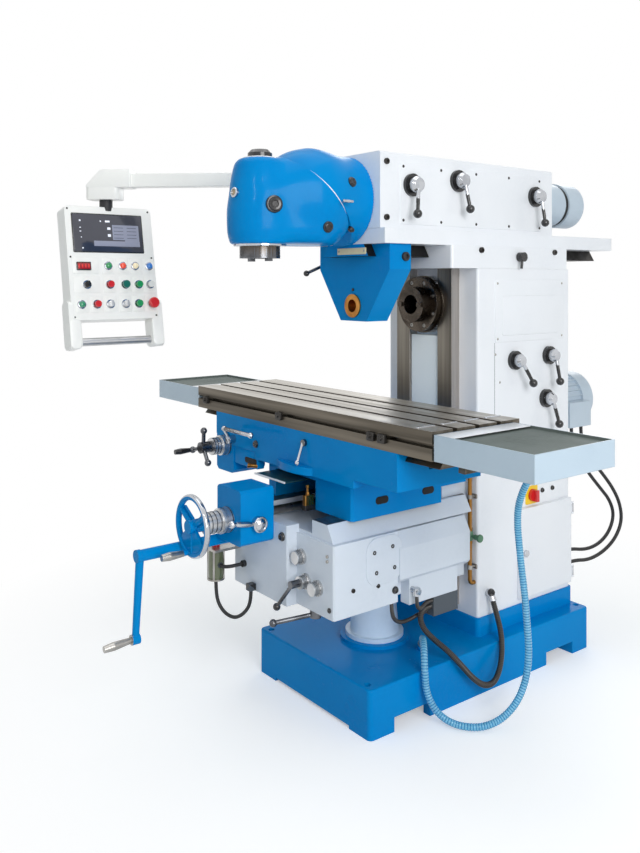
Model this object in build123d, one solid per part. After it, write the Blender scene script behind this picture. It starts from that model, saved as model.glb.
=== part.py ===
"""Universal swivel-head knee milling machine, at its real size in millimetres.

Frame: +X is the operator's right, +Y the back and +Z up.  The origin lies on the
floor under the middle of the base.  Every piece is a solid of its own, drawn where
it sits with the joints at rest.
"""
from build123d import *
import math
import os

# Fits: radial play of a shaft, play of a dovetail flank, oil under the table, and free room beside moving faces
RUNNING_FIT = 0.05
SLIDING_FIT = 0.3
OIL_FILM = 0.2
FREE_ROOM = 3.0

# Base casting
BASE_WIDTH = 600
BASE_LENGTH = 1100
BASE_HEIGHT = 153
BASE_WALL = 30
BASE_DECK = 40
BASE_CORNER = 16
BASE_EDGE = 6
ANCHOR_INSET_X = 40
ANCHOR_INSET_Y = 24
ANCHOR_RADIUS = 11
FOOT_BLOCK = 100
SIDE_RELIEF_LENGTH = 154
SIDE_RELIEF_HEIGHT = 45
FRONT_RELIEF_HEIGHT = 10
COLUMN_PAD_HEIGHT = 63
COLUMN_PAD_MARGIN = 8
UNION_LENGTH = 45

# Elevating screw and its pedestal
SCREW_Y = -269
SCREW_RADIUS = 22.5
SCREW_FOOT_Z = 70
SCREW_WELL_ROOM = 8
SCREW_HEAD = 40
BEVEL_RADIUS = 52
BEVEL_WIDTH = 22
PEDESTAL_PAD_RADIUS = 120
PEDESTAL_PAD_HEIGHT = 12
PEDESTAL_FOOT_RADIUS = 87
PEDESTAL_NECK_RADIUS = 70
PEDESTAL_HEIGHT = 175
PEDESTAL_FLANGE = 14

# Column, its cabinet and the cabinet's door
COLUMN_WIDTH = 456
COLUMN_FRONT = 10
COLUMN_BACK = 530
COLUMN_HEIGHT = 1220
COLUMN_WALL = 28
COLUMN_CORNER = 10
WAY_INNER = 72
WAY_OUTER = 141
WAY_DEPTH = 40
WAY_FOOT_GAP = 24
CABINET_DEPTH = 150
CABINET_Y = (230, 513)
CABINET_RISE = 33
CABINET_HEIGHT = 304
CABINET_SKIN = 12
DOOR_GAP = 1.0
DOOR_THICKNESS = 17
DOOR_MARGIN = 10
HINGE_PIN = 4
HINGE_BARREL = 7
HINGE_HALF = 17
HINGE_LEAF = 6
HINGE_INSET = 31
ISOLATOR_Y = 300
ISOLATOR_RISE = 50
ISOLATOR_SHAFT = 6
ISOLATOR_RADIUS = 22

# Shift levers: place along Y, drop from the top of what carries them, and lean in degrees
LEVER_SHAFT = 10
LEVER_ARM = 7
LEVER_BALL = 15
COLUMN_LEVER_SEAT = 34
COLUMN_LEVER_LENGTH = 95
COLUMN_LEVERS = {
    "speed_lever_front": (203, 331, 30),
    "speed_lever_rear": (400, 323, 4),
    "range_lever": (382, 483, 12),
}
RAM_LEVER_SEAT = 38
RAM_LEVER_LENGTH = 100
RAM_LEVERS = {
    "ram_lever_front": (-265, 104, -10),
    "ram_lever_middle": (-44, 75, 8),
    "ram_lever_rear": (377, 105, 2),
}

# Horizontal spindle
SPINDLE_DROP = 129
NOSE_RADIUS = 64.3
NOSE_LENGTH = 35
JOURNAL_RADIUS = 50
FRONT_RACE_RADIUS = 80
REAR_RACE_RADIUS = 66
BOSS_RADIUS = 104
BOSS_DEPTH = 70
BOSS_STAND = 5
CAP_RADIUS = 99
CAP_THICKNESS = 25
CAP_BOLTS = 8
CAP_BOLT_RADIUS = 9
CAP_BOLT_INSET = 16
TAPER_MOUTH_RADIUS = 35
TAPER_DEPTH = 100
TAPER_END_RADIUS = 20
DRAWBAR_RADIUS = 13
KEY_SIZE = (20, 16, 10)
KEY_OFFSET = 49
SPINDLE_GEAR_RADIUS = 92
SPINDLE_GEAR_Y = (200, 260)

# Main motor on the back of the column
MOTOR_RISE = 679
MOTOR_RADIUS = 105
MOTOR_LENGTH = 340
MOTOR_FLANGE = 20
MOTOR_FINS = 28
COWL_LENGTH = 80
COWL_DOME = 12
TERMINAL_BOX_SIDE = 152
TERMINAL_BOX_Y = (640, 780)
TERMINAL_BOX_DROP = 95
TERMINAL_BOX_HEIGHT = 100

# Ram and its guide
GUIDE_HEIGHT = 79
GUIDE_FRONT = -119
GUIDE_BACK = 520
DOVETAIL_DEPTH = 40
DOVETAIL_NECK = 95
DOVETAIL_FOOT = 118
RAM_CLAMP_Y = 231
RAM_CLAMP_DROP = 36
RAM_CLAMP_SHAFT = 8
RAM_CLAMP_DEPTH = 60
RAM_FRONT = -402
RAM_BACK = 487
RAM_WIDTH = 360
RAM_HEIGHT = 250
RAM_WALL = 20
RAM_EDGE = 6
RAM_FLANGE_WIDTH = 400
RAM_FLANGE_HEIGHT = 50
RAM_FLANGE_Y = (-400, 852)
RAM_WEB_Y = (300, 330)
RAM_BACK_PLATE = 12
RAM_MOTOR_RADIUS = 88
RAM_MOTOR_LENGTH = 345
RAM_MOTOR_RISE = 192
RAM_MOTOR_BODY = 215
RAM_MOTOR_BAND = 20
DRIVE_SHAFT_RADIUS = 20
DRIVE_SHAFT_BACK = 400
DRIVE_GEAR_RADIUS = 60
DRIVE_GEAR_Y = (350, 380)
DRIVE_CONE = 35

# Swivel head
HEAD_RISE = 145
HEAD_REACH = 170
HEAD_AXIS = (0, -1, -1)
KNUCKLE_RADIUS = 155
KNUCKLE_BORE = 60
HEAD_BALL_RADIUS = 163
HEAD_BARREL_RADIUS = 97
HEAD_BARREL_OFFSET = 176
HEAD_BARREL_DROP = 153
HEAD_BARREL_TOP = 120
HEAD_NOSE_LENGTH = 44
HEAD_NOSE_GAP = 6
HEAD_QUILL_RADIUS = 48
HEAD_QUILL_LENGTH = 240
HEAD_CAP_RADII = (44, 36)
HEAD_CAP_HEIGHTS = (8, 19)

# Arbor support: its faces lie in front of the ram guide
SUPPORT_GAP = 151
SUPPORT_DEPTH = 95
SUPPORT_HALF_WIDTH = 185
SUPPORT_STRAIGHT = 84
SUPPORT_EYE_RADIUS = 52
SUPPORT_FOOT = 68
SUPPORT_CLAMP_DROP = 60
SUPPORT_CLAMP_SHAFT = 8
BUSH_RADIUS = 34
BUSH_BORE = 22
BUSH_COLLAR = 6

# Knee
KNEE_LEFT = -240
KNEE_RIGHT = 200
KNEE_APRON_RIGHT = 62
KNEE_FRONT = -690
KNEE_SHOULDER_Y = -385
KNEE_FLOOR = 370
KNEE_DEPTH = 227
KNEE_WALL = 30
APRON_RISE = 26
RAIL_FRONT = -640
RAIL_HEIGHT = 53
RAIL_TOP_HALF = 205
RAIL_FOOT_HALF = 235
TROUGH_HALF = 130
TROUGH_RISE = 11
REAR_GUIDE_Y = -130
REAR_GUIDE_RISE = 103
KEEPER_WIDTH = 49
KEEPER_RISE = 30
KEEPER_DROP = 10
KEEPER_GAP = 6
WEB_RISE = 60
WEB_THICKNESS = 30
WEB_HALF_LENGTH = 61

# Feed gearbox and feed motor cover on the right of the knee; dials as offsets from the box's upper left
GEARBOX_WIDTH = 188
GEARBOX_SETBACK = 40
GEARBOX_LIFT = 2
GEARBOX_WALL = 15
GEARBOX_EDGE = 5
DIAL_RADIUS = 20
DIAL_SKIRT = 24
DIAL_SKIRT_DEPTH = 8
DIAL_DEPTH = 30
DIAL_LEVER_GAP = 15
DIAL_SHAFT = 8
FEED_DIALS = {
    "feed_dial_upper": (28, 69),
    "feed_dial_left": (52, 140),
    "feed_dial_right": (113, 144),
}
CLAMP_PIVOT_OFFSET = (72, 20)
COVER_BACK = -60
COVER_RISE = 62
LOWER_BOX_Y = (-330, -107)
LOWER_BOX_WIDTH = 40
LOWER_BOX_DROP = 25
SWITCH_BOX_LENGTH = 115
SWITCH_BOX_WIDTH = 38
SWITCH_BOX_HEIGHT = 65
BOTTLE_RADIUS = 25
BOTTLE_TOP_DROP = 108

# Cross feed
CROSS_X = -82
CROSS_DROP = 16
CROSS_SCREW_RADIUS = 14
CROSS_SCREW_ROOM = 3
CROSS_BOX_LEFT = 66
CROSS_BOX_RIGHT = 74
CROSS_BOX_DEPTH = 125
CROSS_BOX_BELOW = 72
CROSS_BOX_ABOVE = 101
CROSS_BOX_EDGE = 8
CROSS_SOCKET = 45
CROSS_LEVER_DROP = 7
HANDWHEEL_REACH = 128
HANDWHEEL_RADIUS = 89
HANDWHEEL_RIM = 9
HANDWHEEL_HUB = 18

# Knee crank
CRANK_X = -170
CRANK_DROP = 50
CRANK_REACH = 387
CRANK_ARM = 252
CRANK_SHAFT = 12

# Saddle and swivel base
SADDLE_HALF_WIDTH = 230
SADDLE_Y = (-562, -165)
SADDLE_FLANGE_BACK = -45
SADDLE_STEP = 53
SADDLE_FLANGE = 72
SADDLE_EDGE = 8
SADDLE_RECESS_X = (-180, 45)
SADDLE_RECESS_Y = -380
SADDLE_RECESS_ROOM = 10
SADDLE_NUT_Y = (-330, -270)
SADDLE_NUT_HALF = 33
SWIVEL_Y = -435
SWIVEL_SPIGOT_RADIUS = 60
SWIVEL_SPIGOT_HEIGHT = 25
SWIVEL_HALF_LENGTH = 490
SWIVEL_PLATE_RADIUS = 205
SWIVEL_BEAM_DEPTH = 110
SWIVEL_BACK_INSET = 15
SWIVEL_BOX_LENGTH = 117
SWIVEL_BOX_DEPTH = 135

# Table
TABLE_LENGTH = 1250
TABLE_WIDTH = 360
TABLE_HEIGHT = 80
TONGUE_DEPTH = 25
TONGUE_NECK = 130
TONGUE_FOOT = 150
SLOT_PITCH = 90
SLOT_NECK = 18
SLOT_NECK_DEPTH = 20
SLOT_FOOT = 30
SLOT_FOOT_DEPTH = 14
STOP_SLOT_NECK = (12, 14)
STOP_SLOT_FOOT = (22, 10)
LEADSCREW_DROP = 25
LEADSCREW_RADIUS = 15
TROUGH_HALF_WIDTH = 55
TROUGH_BELOW = 35
NUT_HALF_LENGTH = 60
LUG_HALF_WIDTH = 50
LUG_LENGTH = 25
LUG_BELOW = 27
TABLE_CRANK_X = -420
TABLE_CRANK_ARM = 65
FEED_LEVER_X = -368

# Drip trays at the ends of the table
TRAY_LENGTH = 331
TRAY_INSET = (5, 28)
TRAY_GAP = 1
TRAY_HEIGHT = 71
TRAY_SKIN = 4
SCREEN_DROP = 8
SCREEN_SKIN = 4
TRAY_HOOK = 3
TRAY_HOOK_HALF = 90
DRAIN_INSET = 35
DRAIN_RISE = 19
DRAIN_REACH = 28

# Control pendant; controls as places on the panel's face, from its middle
ARM_PIVOT_OFFSET = (42, 67)
ARM_BAR = 50
ARM_DROP = 51
PIVOT_RADIUS = 15
PIVOT_HUB = 36
SHELF_DROP = 115
SHELF_HEIGHT = 35
SHELF_HALF = 35
PENDANT_AXIS = (-762, -930)
DRUM_DROP = 29
DRUM_HEIGHT = 43
DRUM_RADIUS = 30
SWIVEL_PIN = 12
PANEL_DROP = 305
PANEL_FORWARD = 59
PANEL_TILT = 11
PANEL_WIDTH = 338
PANEL_HEIGHT = 420
PANEL_DEPTH = 70
PANEL_SKIN = 4
PANEL_CORNER = 16
PANEL_NECK = 24
CHEEK_SIZE = (60, 175, 20)
CHEEK_CENTRE = (-225, -26)
HANDLE_RADIUS = 9
HANDLE_Y = -286
BUTTON_RADIUS = 12
BUTTON_HEIGHT = 8
BUTTON_STEM = 5
BUTTON_STEM_DEPTH = 14
BUTTON_TRAVEL = 4
STOP_RADIUS = 20
STOP_TRAVEL = 6
BEZEL_RADIUS = 16
BEZEL_HEIGHT = 5
ROW_TWO = -82
ROW_THREE = -154
BUTTONS = {
    "spindle_stop_button": (-18, ROW_TWO, BUTTON_RADIUS),
    "spindle_start_button": (42, ROW_TWO, BUTTON_RADIUS + 2),
    "coolant_button": (95, ROW_TWO, BUTTON_RADIUS),
    "lamp_button": (142, ROW_TWO, BUTTON_RADIUS),
    "feed_stop_button": (-73, ROW_THREE, BUTTON_RADIUS),
    "feed_start_button": (89, ROW_THREE, BUTTON_RADIUS),
}
SELECTORS = {
    "feed_rate_knob": (-105, ROW_TWO),
    "head_selector": (-22, ROW_THREE),
    "feed_selector": (38, ROW_THREE),
}
STOP_PLACE = (143, ROW_THREE)

# Hoses and conduits: radius of each, and the rings of the ribbed ones
HOSE_RADIUS = 11.5
HOSE_VALLEY = 10.2
HOSE_BORE = 8.0
HOSE_RIBS = 190
CONDUIT_RADIUS = 10.0
CONDUIT_VALLEY = 8.6
CONDUIT_BORE = 6.5
CONDUIT_RIBS = 130
LEAD_RADIUS = 6.5
CABLE_RADIUS = 7.0
LUBE_HOSE_RADIUS = 6.0
COUPLING_SKIN = 3
GLAND_SKIN = 4
GLAND_REACH = 20
GLAND_ROOT = 2
GLAND_LENGTH = 26

# Places worked out from the sizes above
COLUMN_SIDE = COLUMN_WIDTH / 2
COLUMN_FOOT = BASE_HEIGHT + COLUMN_PAD_HEIGHT
COLUMN_TOP = COLUMN_FOOT + COLUMN_HEIGHT
COLUMN_INNER_BACK = COLUMN_BACK - COLUMN_WALL
WAY_FACE = COLUMN_FRONT - WAY_DEPTH
CABINET_Z = (COLUMN_FOOT + CABINET_RISE, COLUMN_FOOT + CABINET_RISE + CABINET_HEIGHT)
HINGE_AXIS = (COLUMN_SIDE + 2 * HINGE_BARREL, COLUMN_BACK - HINGE_LEAF / 2)
HINGE_HEIGHTS = (CABINET_Z[0] + HINGE_INSET, CABINET_Z[1] - HINGE_INSET)
ISOLATOR_PLACE = (ISOLATOR_Y, CABINET_Z[1] + ISOLATOR_RISE)
SPINDLE_Z = COLUMN_TOP - SPINDLE_DROP
BOSS_FACE = WAY_FACE - BOSS_STAND
NOSE_FACE = BOSS_FACE - CAP_THICKNESS - NOSE_LENGTH
MOTOR_Z = COLUMN_FOOT + MOTOR_RISE
TERMINAL_BOX_FLOOR = MOTOR_Z - TERMINAL_BOX_DROP
RAM_SEAT = COLUMN_TOP + GUIDE_HEIGHT
RAM_CLAMP_Z = RAM_SEAT - RAM_CLAMP_DROP
RAM_FLOOR = RAM_SEAT + RAM_FLANGE_HEIGHT
RAM_TOP = RAM_FLOOR + RAM_HEIGHT
RAM_SIDE = RAM_WIDTH / 2
RAM_MOTOR_Z = RAM_SEAT + RAM_MOTOR_RISE
HEAD_CENTRE = (0, RAM_FRONT - HEAD_REACH, RAM_SEAT + HEAD_RISE)
HEAD_SPINDLE_Y = HEAD_CENTRE[1] - HEAD_BARREL_OFFSET
HEAD_BOTTOM = HEAD_CENTRE[2] - HEAD_BARREL_DROP
HEAD_TOP = HEAD_CENTRE[2] + HEAD_BARREL_TOP
DRIVE_Z = HEAD_CENTRE[2]
DRIVE_FRONT = HEAD_CENTRE[1] + KNUCKLE_BORE - FREE_ROOM
SUPPORT_Y = (GUIDE_FRONT - SUPPORT_GAP - SUPPORT_DEPTH, GUIDE_FRONT - SUPPORT_GAP)
SUPPORT_CLAMP = (sum(SUPPORT_Y) / 2, RAM_SEAT - SUPPORT_CLAMP_DROP)
PEDESTAL_FOOT_Z = BASE_HEIGHT + PEDESTAL_PAD_HEIGHT
PEDESTAL_TOP = PEDESTAL_FOOT_Z + PEDESTAL_HEIGHT
KNEE_TOP = KNEE_FLOOR + KNEE_DEPTH
APRON_TOP = KNEE_TOP + APRON_RISE
RAIL_TOP = KNEE_TOP + RAIL_HEIGHT
TROUGH_FLOOR = KNEE_TOP + TROUGH_RISE
REAR_GUIDE_TOP = KNEE_TOP + REAR_GUIDE_RISE
WEB_Z = (KNEE_FLOOR + WEB_RISE, KNEE_FLOOR + WEB_RISE + WEB_THICKNESS)
GEARBOX_X = (KNEE_APRON_RIGHT, KNEE_APRON_RIGHT + GEARBOX_WIDTH)
GEARBOX_Y = (KNEE_FRONT + GEARBOX_SETBACK, KNEE_SHOULDER_Y)
GEARBOX_Z = (KNEE_FLOOR + GEARBOX_LIFT, KNEE_TOP)
CLAMP_PIVOT = (GEARBOX_X[0] + CLAMP_PIVOT_OFFSET[0], GEARBOX_Y[0] + CLAMP_PIVOT_OFFSET[1])
COVER_FLOOR = KNEE_FLOOR + COVER_RISE
LOWER_BOX_FLOOR = KNEE_FLOOR - LOWER_BOX_DROP
BOTTLE_TOP = KNEE_TOP - BOTTLE_TOP_DROP
CROSS_Z = RAIL_TOP - CROSS_DROP
CROSS_BOX_X = (CROSS_X - CROSS_BOX_LEFT, CROSS_X + CROSS_BOX_RIGHT)
CROSS_BOX_Y = (KNEE_FRONT - CROSS_BOX_DEPTH, KNEE_FRONT)
CROSS_BOX_Z = (CROSS_Z - CROSS_BOX_BELOW, CROSS_Z + CROSS_BOX_ABOVE)
CROSS_LEVER = (sum(CROSS_BOX_Y) / 2, CROSS_Z - CROSS_LEVER_DROP)
HANDWHEEL_Y = CROSS_BOX_Y[0] - HANDWHEEL_REACH
CRANK_Z = KNEE_TOP - CRANK_DROP
SADDLE_STEP_Z = RAIL_TOP + SADDLE_STEP
SADDLE_TOP = SADDLE_STEP_Z + SADDLE_FLANGE
SWIVEL_BEAM_Z = SADDLE_TOP + SWIVEL_SPIGOT_HEIGHT
SWIVEL_TOP = SWIVEL_BEAM_Z + SWIVEL_BEAM_DEPTH
LEADSCREW_Z = SWIVEL_TOP - LEADSCREW_DROP
TABLE_END = TABLE_LENGTH / 2
TABLE_Y = (SWIVEL_Y - TABLE_WIDTH / 2, SWIVEL_Y + TABLE_WIDTH / 2)
TABLE_TOP = SWIVEL_TOP + TABLE_HEIGHT
TABLE_CRANK_Z = SWIVEL_BEAM_Z - FREE_ROOM
FEED_LEVER_Z = SWIVEL_BEAM_Z + 25
TRAY_X = (TABLE_END + TRAY_HOOK, TABLE_END + TRAY_HOOK + TRAY_LENGTH)
TRAY_Y = (TABLE_Y[0] + TRAY_INSET[0], TABLE_Y[1] - TRAY_INSET[1])
TRAY_Z = (SWIVEL_TOP + TRAY_GAP, SWIVEL_TOP + TRAY_GAP + TRAY_HEIGHT)
DRAIN_X = TABLE_END + DRAIN_INSET
DRAIN_Z = TRAY_Z[0] + DRAIN_RISE
ARM_PIVOT = (-RAM_SIDE - ARM_PIVOT_OFFSET[0], RAM_FRONT + ARM_PIVOT_OFFSET[1])
ARM_Z = RAM_TOP - ARM_DROP
SHELF_Z = (RAM_TOP - SHELF_DROP, RAM_TOP - SHELF_DROP + SHELF_HEIGHT)
DRUM_Z = (ARM_Z - DRUM_DROP - DRUM_HEIGHT, ARM_Z - DRUM_DROP)
PANEL_CENTRE = (PENDANT_AXIS[0] + PANEL_FORWARD, PENDANT_AXIS[1], ARM_Z - PANEL_DROP)
PANEL_NORMAL = (math.cos(math.radians(PANEL_TILT)), 0, math.sin(math.radians(PANEL_TILT)))
PANEL = Plane(origin=PANEL_CENTRE, x_dir=(0, 1, 0), z_dir=PANEL_NORMAL)

# Routes of the hoses and conduits, each a list of hand-chosen points
HOSE_ROUTE = [
    (DRAIN_X, TRAY_Y[1] + DRAIN_REACH, DRAIN_Z), (DRAIN_X, -205, DRAIN_Z), (650, -166, 905),
    (622, -146, 862), (585, -141, 810), (548, -140, 752), (518, -130, 690), (503, -114, 625),
    (500, -101, 555), (502, -92, 480), (508, -84, 400), (512, -79, 315), (521, -80, 230),
    (522, -91, 150), (511, -118, 80), (494, -165, 34), (474, -226, 16), (440, -273, 15),
    (396, -301, 19), (351, -320, 40), (323, -336, 95), (318, -338, 168), (302, -324, 204),
    (275, -300, 225), (244, -273, 225), (217, -249, 204), (193, -228, 172),
]
CONDUIT_ROUTE = [
    (222, -217, 310), (222, -250, 310), (229, -273, 287), (242, -267, 252), (268, -243, 219),
    (304, -214, 186), (329, -180, 140), (342, -140, 91), (347, -92, 55), (346, -44, 49),
    (338, -4, 79), (323, 26, 129), (302, 46, 181), (275, 57, 227), (253, 60, 272),
]
LEAD_ROUTES = [
    [(226, -395, GEARBOX_Z[0]), (226, -395, 335), (221, -378, 302), (212, -340, 282),
     (206, -294, 280), (205, -252, 288), (205, -217, 288)],
    [(262, -318, 380), (262, -318, 350), (256, -302, 330), (243, -274, 326), (230, -246, 332),
     (230, -217, 332)],
]
CABLE_ROUTES = [
    [(122, 690, TERMINAL_BOX_FLOOR), (122, 690, 740), (126, 730, 672), (130, 802, 590),
     (130, 880, 520), (130, 945, 462), (130, 978, 395), (130, 946, 330), (130, 874, 290),
     (130, 775, 282), (130, 660, 310), (130, COLUMN_BACK + GLAND_REACH, 310)],
    [(132, 740, TERMINAL_BOX_FLOOR), (132, 740, 735), (144, 788, 660), (156, 858, 588),
     (160, 924, 520), (160, 975, 448), (160, 990, 372), (160, 945, 308), (160, 862, 268),
     (160, 756, 252), (160, 650, 272), (160, COLUMN_BACK + GLAND_REACH, 272)],
]
LUBE_ROUTES = [
    [(-250, -760, 389), (-250, -760, 347), (-243, -755, 304), (-219, -742, 274), (-182, -727, 266),
     (-147, -712, 290), (-123, -702, 330), (-123, -702, 372)],
    [(-218, -760, 440), (-202, -760, 440), (-186, -750, 442), (-178, -730, 444), (-178, -702, 444)],
]


def block(x, y, z):
    """Box between two values on each axis."""
    spans = (x, y, z)
    middle = [(low + high) / 2 for low, high in spans]
    return Pos(*middle) * Box(*[high - low for low, high in spans])


def rounded(x, y, z, corner):
    """Box whose upright edges are rounded."""
    outline = RectangleRounded(x[1] - x[0], y[1] - y[0], corner)
    place = Pos((x[0] + x[1]) / 2, (y[0] + y[1]) / 2, z[0])
    return extrude(place * outline, z[1] - z[0], dir=(0, 0, 1))


def rod(start, end, radius, end_radius=None):
    """Cylinder from one point to another, or a cone where the end radius differs."""
    axis = Vector(end) - Vector(start)
    seat = Plane(origin=start, z_dir=axis)
    foot = (Align.CENTER, Align.CENTER, Align.MIN)
    if end_radius is None:
        return seat * Cylinder(radius, axis.length, align=foot)
    return seat * Cone(radius, end_radius, axis.length, align=foot)


def rod_x(x, place, radius):
    """Cylinder along X between two values, about a place in YZ."""
    return rod((x[0], *place), (x[1], *place), radius)


def rod_y(y, place, radius, end_radius=None):
    """Cylinder or cone along Y between two values, about a place in XZ."""
    return rod((place[0], y[0], place[1]), (place[0], y[1], place[1]), radius, end_radius)


def rod_z(z, place, radius, end_radius=None):
    """Cylinder or cone along Z between two values, about a place in XY."""
    return rod((*place, z[0]), (*place, z[1]), radius, end_radius)


def ball(centre, radius):
    """Sphere about a point."""
    return Pos(*centre) * Sphere(radius)


def prism_y(points, y):
    """Prism of an XZ outline between two Y values."""
    plane = Plane(origin=(0, y[0], 0), x_dir=(1, 0, 0), z_dir=(0, -1, 0))
    return extrude(plane * make_face(Polyline(*points, close=True)), y[1] - y[0], dir=(0, 1, 0))


def prism_x(points, x):
    """Prism of a YZ outline between two X values."""
    plane = Plane(origin=(x[0], 0, 0), x_dir=(0, 1, 0), z_dir=(1, 0, 0))
    return extrude(plane * make_face(Polyline(*points, close=True)), x[1] - x[0], dir=(1, 0, 0))


def prism_z(points, z):
    """Prism of an XY outline between two Z values."""
    face = Pos(0, 0, z[0]) * make_face(Polyline(*points, close=True))
    return extrude(face, z[1] - z[0], dir=(0, 0, 1))


def mirrored(shape):
    """The same shape on the other side of the YZ plane."""
    return mirror(shape, about=Plane.YZ)


def polar(centre, radius, degrees):
    """Point on a circle in a plane of two axes."""
    angle = math.radians(degrees)
    return centre[0] + radius * math.cos(angle), centre[1] + radius * math.sin(angle)


def gear_wheel(start, end, radius, bore, teeth, depth):
    """Spur gear with straight-sided teeth, drawn about +Z and set between two points."""
    axis = Vector(end) - Vector(start)
    pitch = 360 / teeth
    wheel = Cylinder(radius, axis.length, align=(Align.CENTER, Align.CENTER, Align.MIN))
    space = Pos(radius, 0, axis.length / 2) * Box(2 * depth, math.pi * radius / teeth, 2 * axis.length)
    wheel -= [Rot(0, 0, pitch * tooth) * space for tooth in range(teeth)]
    wheel -= Cylinder(bore, 3 * axis.length)
    return Plane(origin=start, z_dir=axis) * wheel


def base():
    """Floor casting: open underneath, with a pad for the column and a round pad for the pedestal."""
    half_x = BASE_WIDTH / 2
    half_y = BASE_LENGTH / 2
    body = rounded((-half_x, half_x), (-half_y, half_y), (0, BASE_HEIGHT), BASE_CORNER)
    body = fillet(body.edges().group_by(Axis.Z)[-1], BASE_EDGE)
    ceiling = BASE_HEIGHT - BASE_DECK
    inner_x = half_x - BASE_WALL
    inner_y = half_y - BASE_WALL
    foot_x = half_x - FOOT_BLOCK
    foot_y = half_y - FOOT_BLOCK
    body -= block((-inner_x, inner_x), (-foot_y, foot_y), (0, ceiling))
    body -= block((-foot_x, foot_x), (-inner_y, inner_y), (0, ceiling))
    body += block((-inner_x, inner_x), (-BASE_WALL / 2, BASE_WALL / 2), (0, ceiling))
    for y in ((-foot_y, SIDE_RELIEF_LENGTH - foot_y), (foot_y - SIDE_RELIEF_LENGTH, foot_y)):
        body -= block((-half_x, half_x), y, (0, SIDE_RELIEF_HEIGHT))
    body -= block((-foot_x, foot_x), (-half_y, -inner_y), (0, FRONT_RELIEF_HEIGHT))
    pad_half = COLUMN_SIDE + COLUMN_PAD_MARGIN
    pad_y = (COLUMN_FRONT - COLUMN_PAD_MARGIN, COLUMN_BACK + COLUMN_PAD_MARGIN)
    body += rounded((-pad_half, pad_half), pad_y, (BASE_HEIGHT, COLUMN_FOOT), BASE_CORNER)
    body += rod_z((BASE_HEIGHT, PEDESTAL_FOOT_Z), (0, SCREW_Y), PEDESTAL_PAD_RADIUS)
    body -= rod_z((0, PEDESTAL_FOOT_Z), (0, SCREW_Y), SCREW_RADIUS + SCREW_WELL_ROOM)
    for x in (ANCHOR_INSET_X - half_x, half_x - ANCHOR_INSET_X):
        for y in (ANCHOR_INSET_Y - half_y, half_y - ANCHOR_INSET_Y):
            body -= rod_z((0, BASE_HEIGHT), (x, y), ANCHOR_RADIUS)
    union_end = Vector(HOSE_ROUTE[-1])
    heading = (union_end - Vector(HOSE_ROUTE[-2])).normalized()
    union = rod(union_end, union_end + heading * UNION_LENGTH, HOSE_RADIUS + COUPLING_SKIN)
    union -= block((-half_x, half_x), (-half_y, half_y), (0, BASE_HEIGHT - BASE_DECK / 2))
    return body + union


def screw_pedestal():
    """Flared pillar that guides the elevating screw."""
    span = (PEDESTAL_FOOT_Z, PEDESTAL_TOP)
    axis = (0, SCREW_Y)
    body = rod_z(span, axis, PEDESTAL_FOOT_RADIUS, PEDESTAL_NECK_RADIUS)
    body += rod_z((span[0], span[0] + PEDESTAL_FLANGE), axis, PEDESTAL_FOOT_RADIUS + PEDESTAL_FLANGE)
    return body - rod_z(span, axis, SCREW_RADIUS + RUNNING_FIT)


def column():
    """Hollow upright with its ways, the spindle boss and the electrical cabinet."""
    side, foot, top, back = COLUMN_SIDE, COLUMN_FOOT, COLUMN_TOP, COLUMN_INNER_BACK
    inner = side - COLUMN_WALL
    body = rounded((-side, side), (COLUMN_FRONT, COLUMN_BACK), (foot, top), COLUMN_CORNER)
    body -= block((-inner, inner), (COLUMN_FRONT + COLUMN_WALL, back), (foot, top - COLUMN_WALL))
    way = block((WAY_INNER, WAY_OUTER), (WAY_FACE, COLUMN_FRONT), (foot + WAY_FOOT_GAP, top))
    body += [way, mirrored(way)]
    boss_y = (BOSS_FACE, COLUMN_FRONT + BOSS_DEPTH)
    body += rod_y(boss_y, (0, SPINDLE_Z), BOSS_RADIUS)
    floor = side - CABINET_DEPTH
    shell_z = (CABINET_Z[0] - CABINET_SKIN, CABINET_Z[1] + CABINET_SKIN)
    body += block((floor - CABINET_SKIN, inner), (CABINET_Y[0] - CABINET_SKIN, back), shell_z)
    body -= block((floor, side), (CABINET_Y[0], back), CABINET_Z)
    body -= rod_y(boss_y, (0, SPINDLE_Z), FRONT_RACE_RADIUS)
    body -= rod_y((back, COLUMN_BACK), (0, SPINDLE_Z), REAR_RACE_RADIUS)
    for y, drop, _ in COLUMN_LEVERS.values():
        body -= rod_x((inner, side), (y, top - drop), LEVER_SHAFT + RUNNING_FIT)
    body -= rod_x((inner, side), ISOLATOR_PLACE, ISOLATOR_SHAFT + RUNNING_FIT)
    for z in HINGE_HEIGHTS:
        body += hinge_pin(z)
    gland = Vector(CONDUIT_ROUTE[-1])
    bend = gland + (gland - Vector(CONDUIT_ROUTE[-2])).normalized() * GLAND_LENGTH
    coupling = CONDUIT_RADIUS + COUPLING_SKIN
    body += rod(gland, bend, coupling) + ball(bend, coupling)
    body += rod_x((side - GLAND_ROOT, bend.X), (bend.Y, bend.Z), coupling)
    for route in CABLE_ROUTES:
        x, y, z = route[-1]
        body += rod_y((COLUMN_BACK - GLAND_ROOT, y), (x, z), CABLE_RADIUS + GLAND_SKIN)
    return body


def hinge_pin(z):
    """Hinge pin on the column with a leaf and a knuckle above and below the door's barrel."""
    x, y = HINGE_AXIS
    ends = (z - HINGE_HALF - HINGE_LEAF, z + HINGE_HALF)
    pin = rod_z((ends[0], ends[1] + HINGE_LEAF), HINGE_AXIS, HINGE_PIN)
    for low in ends:
        pin += rod_z((low, low + HINGE_LEAF), HINGE_AXIS, HINGE_BARREL)
        pin += block((COLUMN_SIDE - COLUMN_CORNER, x), (y - HINGE_LEAF, y + 1), (low, low + HINGE_LEAF))
    return pin


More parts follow.
